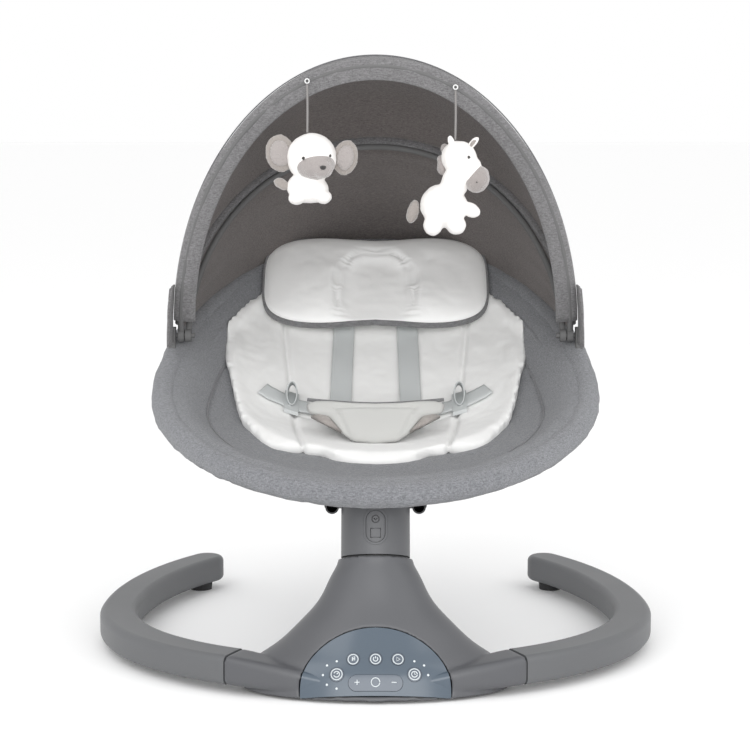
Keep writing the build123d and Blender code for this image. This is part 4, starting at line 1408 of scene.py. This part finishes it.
        self.blob("horse", Finish.DARK_FELT, [
            (at(9, -15.6, 1), (2.1 * MM, 1.7 * MM, 2.3 * MM), 0),
            (at(17, -16.6, -24), (1.4 * MM, 1.2 * MM, 1.7 * MM), 0)], "horse_eye_nostril", 0.0)

    def string(self, toy: str, radius: float) -> None:
        """String from the hook ring down to the toy's head."""
        low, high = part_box(toy + "_cord")
        x, y = (low[0] + high[0]) / 2, (low[1] + high[1]) / 2
        curve = bpy.data.curves.new(toy + "_string", "CURVE")
        curve.dimensions = "3D"
        curve.bevel_depth = radius
        curve.bevel_resolution = 4
        spline = curve.splines.new("NURBS")
        steps = (0.0, 0.33, 0.66, 1.0)
        spline.points.add(len(steps) - 1)
        for point, t in zip(spline.points, steps):
            bend = 0.4 * MM * sin(pi * t)
            point.co = (x + bend, y, high[2] + (low[2] - high[2]) * t, 1)
        spline.order_u = 3
        spline.use_endpoint_u = True
        curve.materials.append(Finish.STRING.material)
        line = bpy.data.objects.new(toy + "_string", curve)
        bpy.context.scene.collection.objects.link(line)
        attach(line, toy)
        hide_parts(toy + "_cord")


# ---- studio ----------------------------------------------------------------------------
@dataclass
class Studio:
    """Pale floor, soft lights and the camera."""

    camera_place: tuple[float, float, float] = (0.0, -2.169, 0.569)
    aim: tuple[float, float, float] = (-0.0006, -0.044, 0.2908)
    focal: float = 95.3

    def build(self) -> None:
        """Set the floor, the lights and the camera."""
        shader = Shader("studio_floor", 0.9)
        shader.surface.inputs["Base Color"].default_value = (0.98, 0.98, 0.98, 1)
        mesh = bpy.data.meshes.new("floor")
        size = 40.0
        mesh.from_pydata([(-size, -size, 0), (size, -size, 0), (size, size, 0), (-size, size, 0)],
                         [], [(0, 1, 2, 3)])
        mesh.materials.append(shader.material)
        floor = bpy.data.objects.new("studio_floor", mesh)
        bpy.context.scene.collection.objects.link(floor)
        world = bpy.data.worlds.new("soft_room")
        world.use_nodes = True
        world.node_tree.nodes["Background"].inputs["Color"].default_value = (1, 1, 1, 1)
        world.node_tree.nodes["Background"].inputs["Strength"].default_value = 1.0
        bpy.context.scene.world = world
        for place, power, extent in (((-1.6, -1.8, 2.4), 14, 1.6), ((0.1, -3.2, 0.8), 56, 2.4),
                                     ((2.0, -1.2, 2.0), 10, 1.8)):
            light = bpy.data.lights.new("softbox", "AREA")
            light.energy, light.size = power, extent
            lamp = bpy.data.objects.new("softbox", light)
            lamp.location = place
            lamp.rotation_euler = (Vector((0, 0, 0.3)) - lamp.location).to_track_quat(
                "-Z", "Y").to_euler()
            bpy.context.scene.collection.objects.link(lamp)
        data = bpy.data.cameras.new("camera")
        data.lens = self.focal
        camera = bpy.data.objects.new("camera", data)
        camera.location = self.camera_place
        camera.rotation_euler = (Vector(self.aim) - camera.location).to_track_quat(
            "-Z", "Y").to_euler()
        bpy.context.scene.collection.objects.link(camera)
        bpy.context.scene.camera = camera
        bpy.context.scene.view_settings.view_transform = "Standard"


def main() -> None:
    """Build the swing round its frame, piece by piece."""
    Studio().build()
    Toys().build()
    PlainParts().build()
    FloorBase().build()
    rim = RimLine()
    Seat(rim).build()
    Canopy(CanopyFan(), rim).build()
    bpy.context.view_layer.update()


if __name__ == "__main__":
    main()
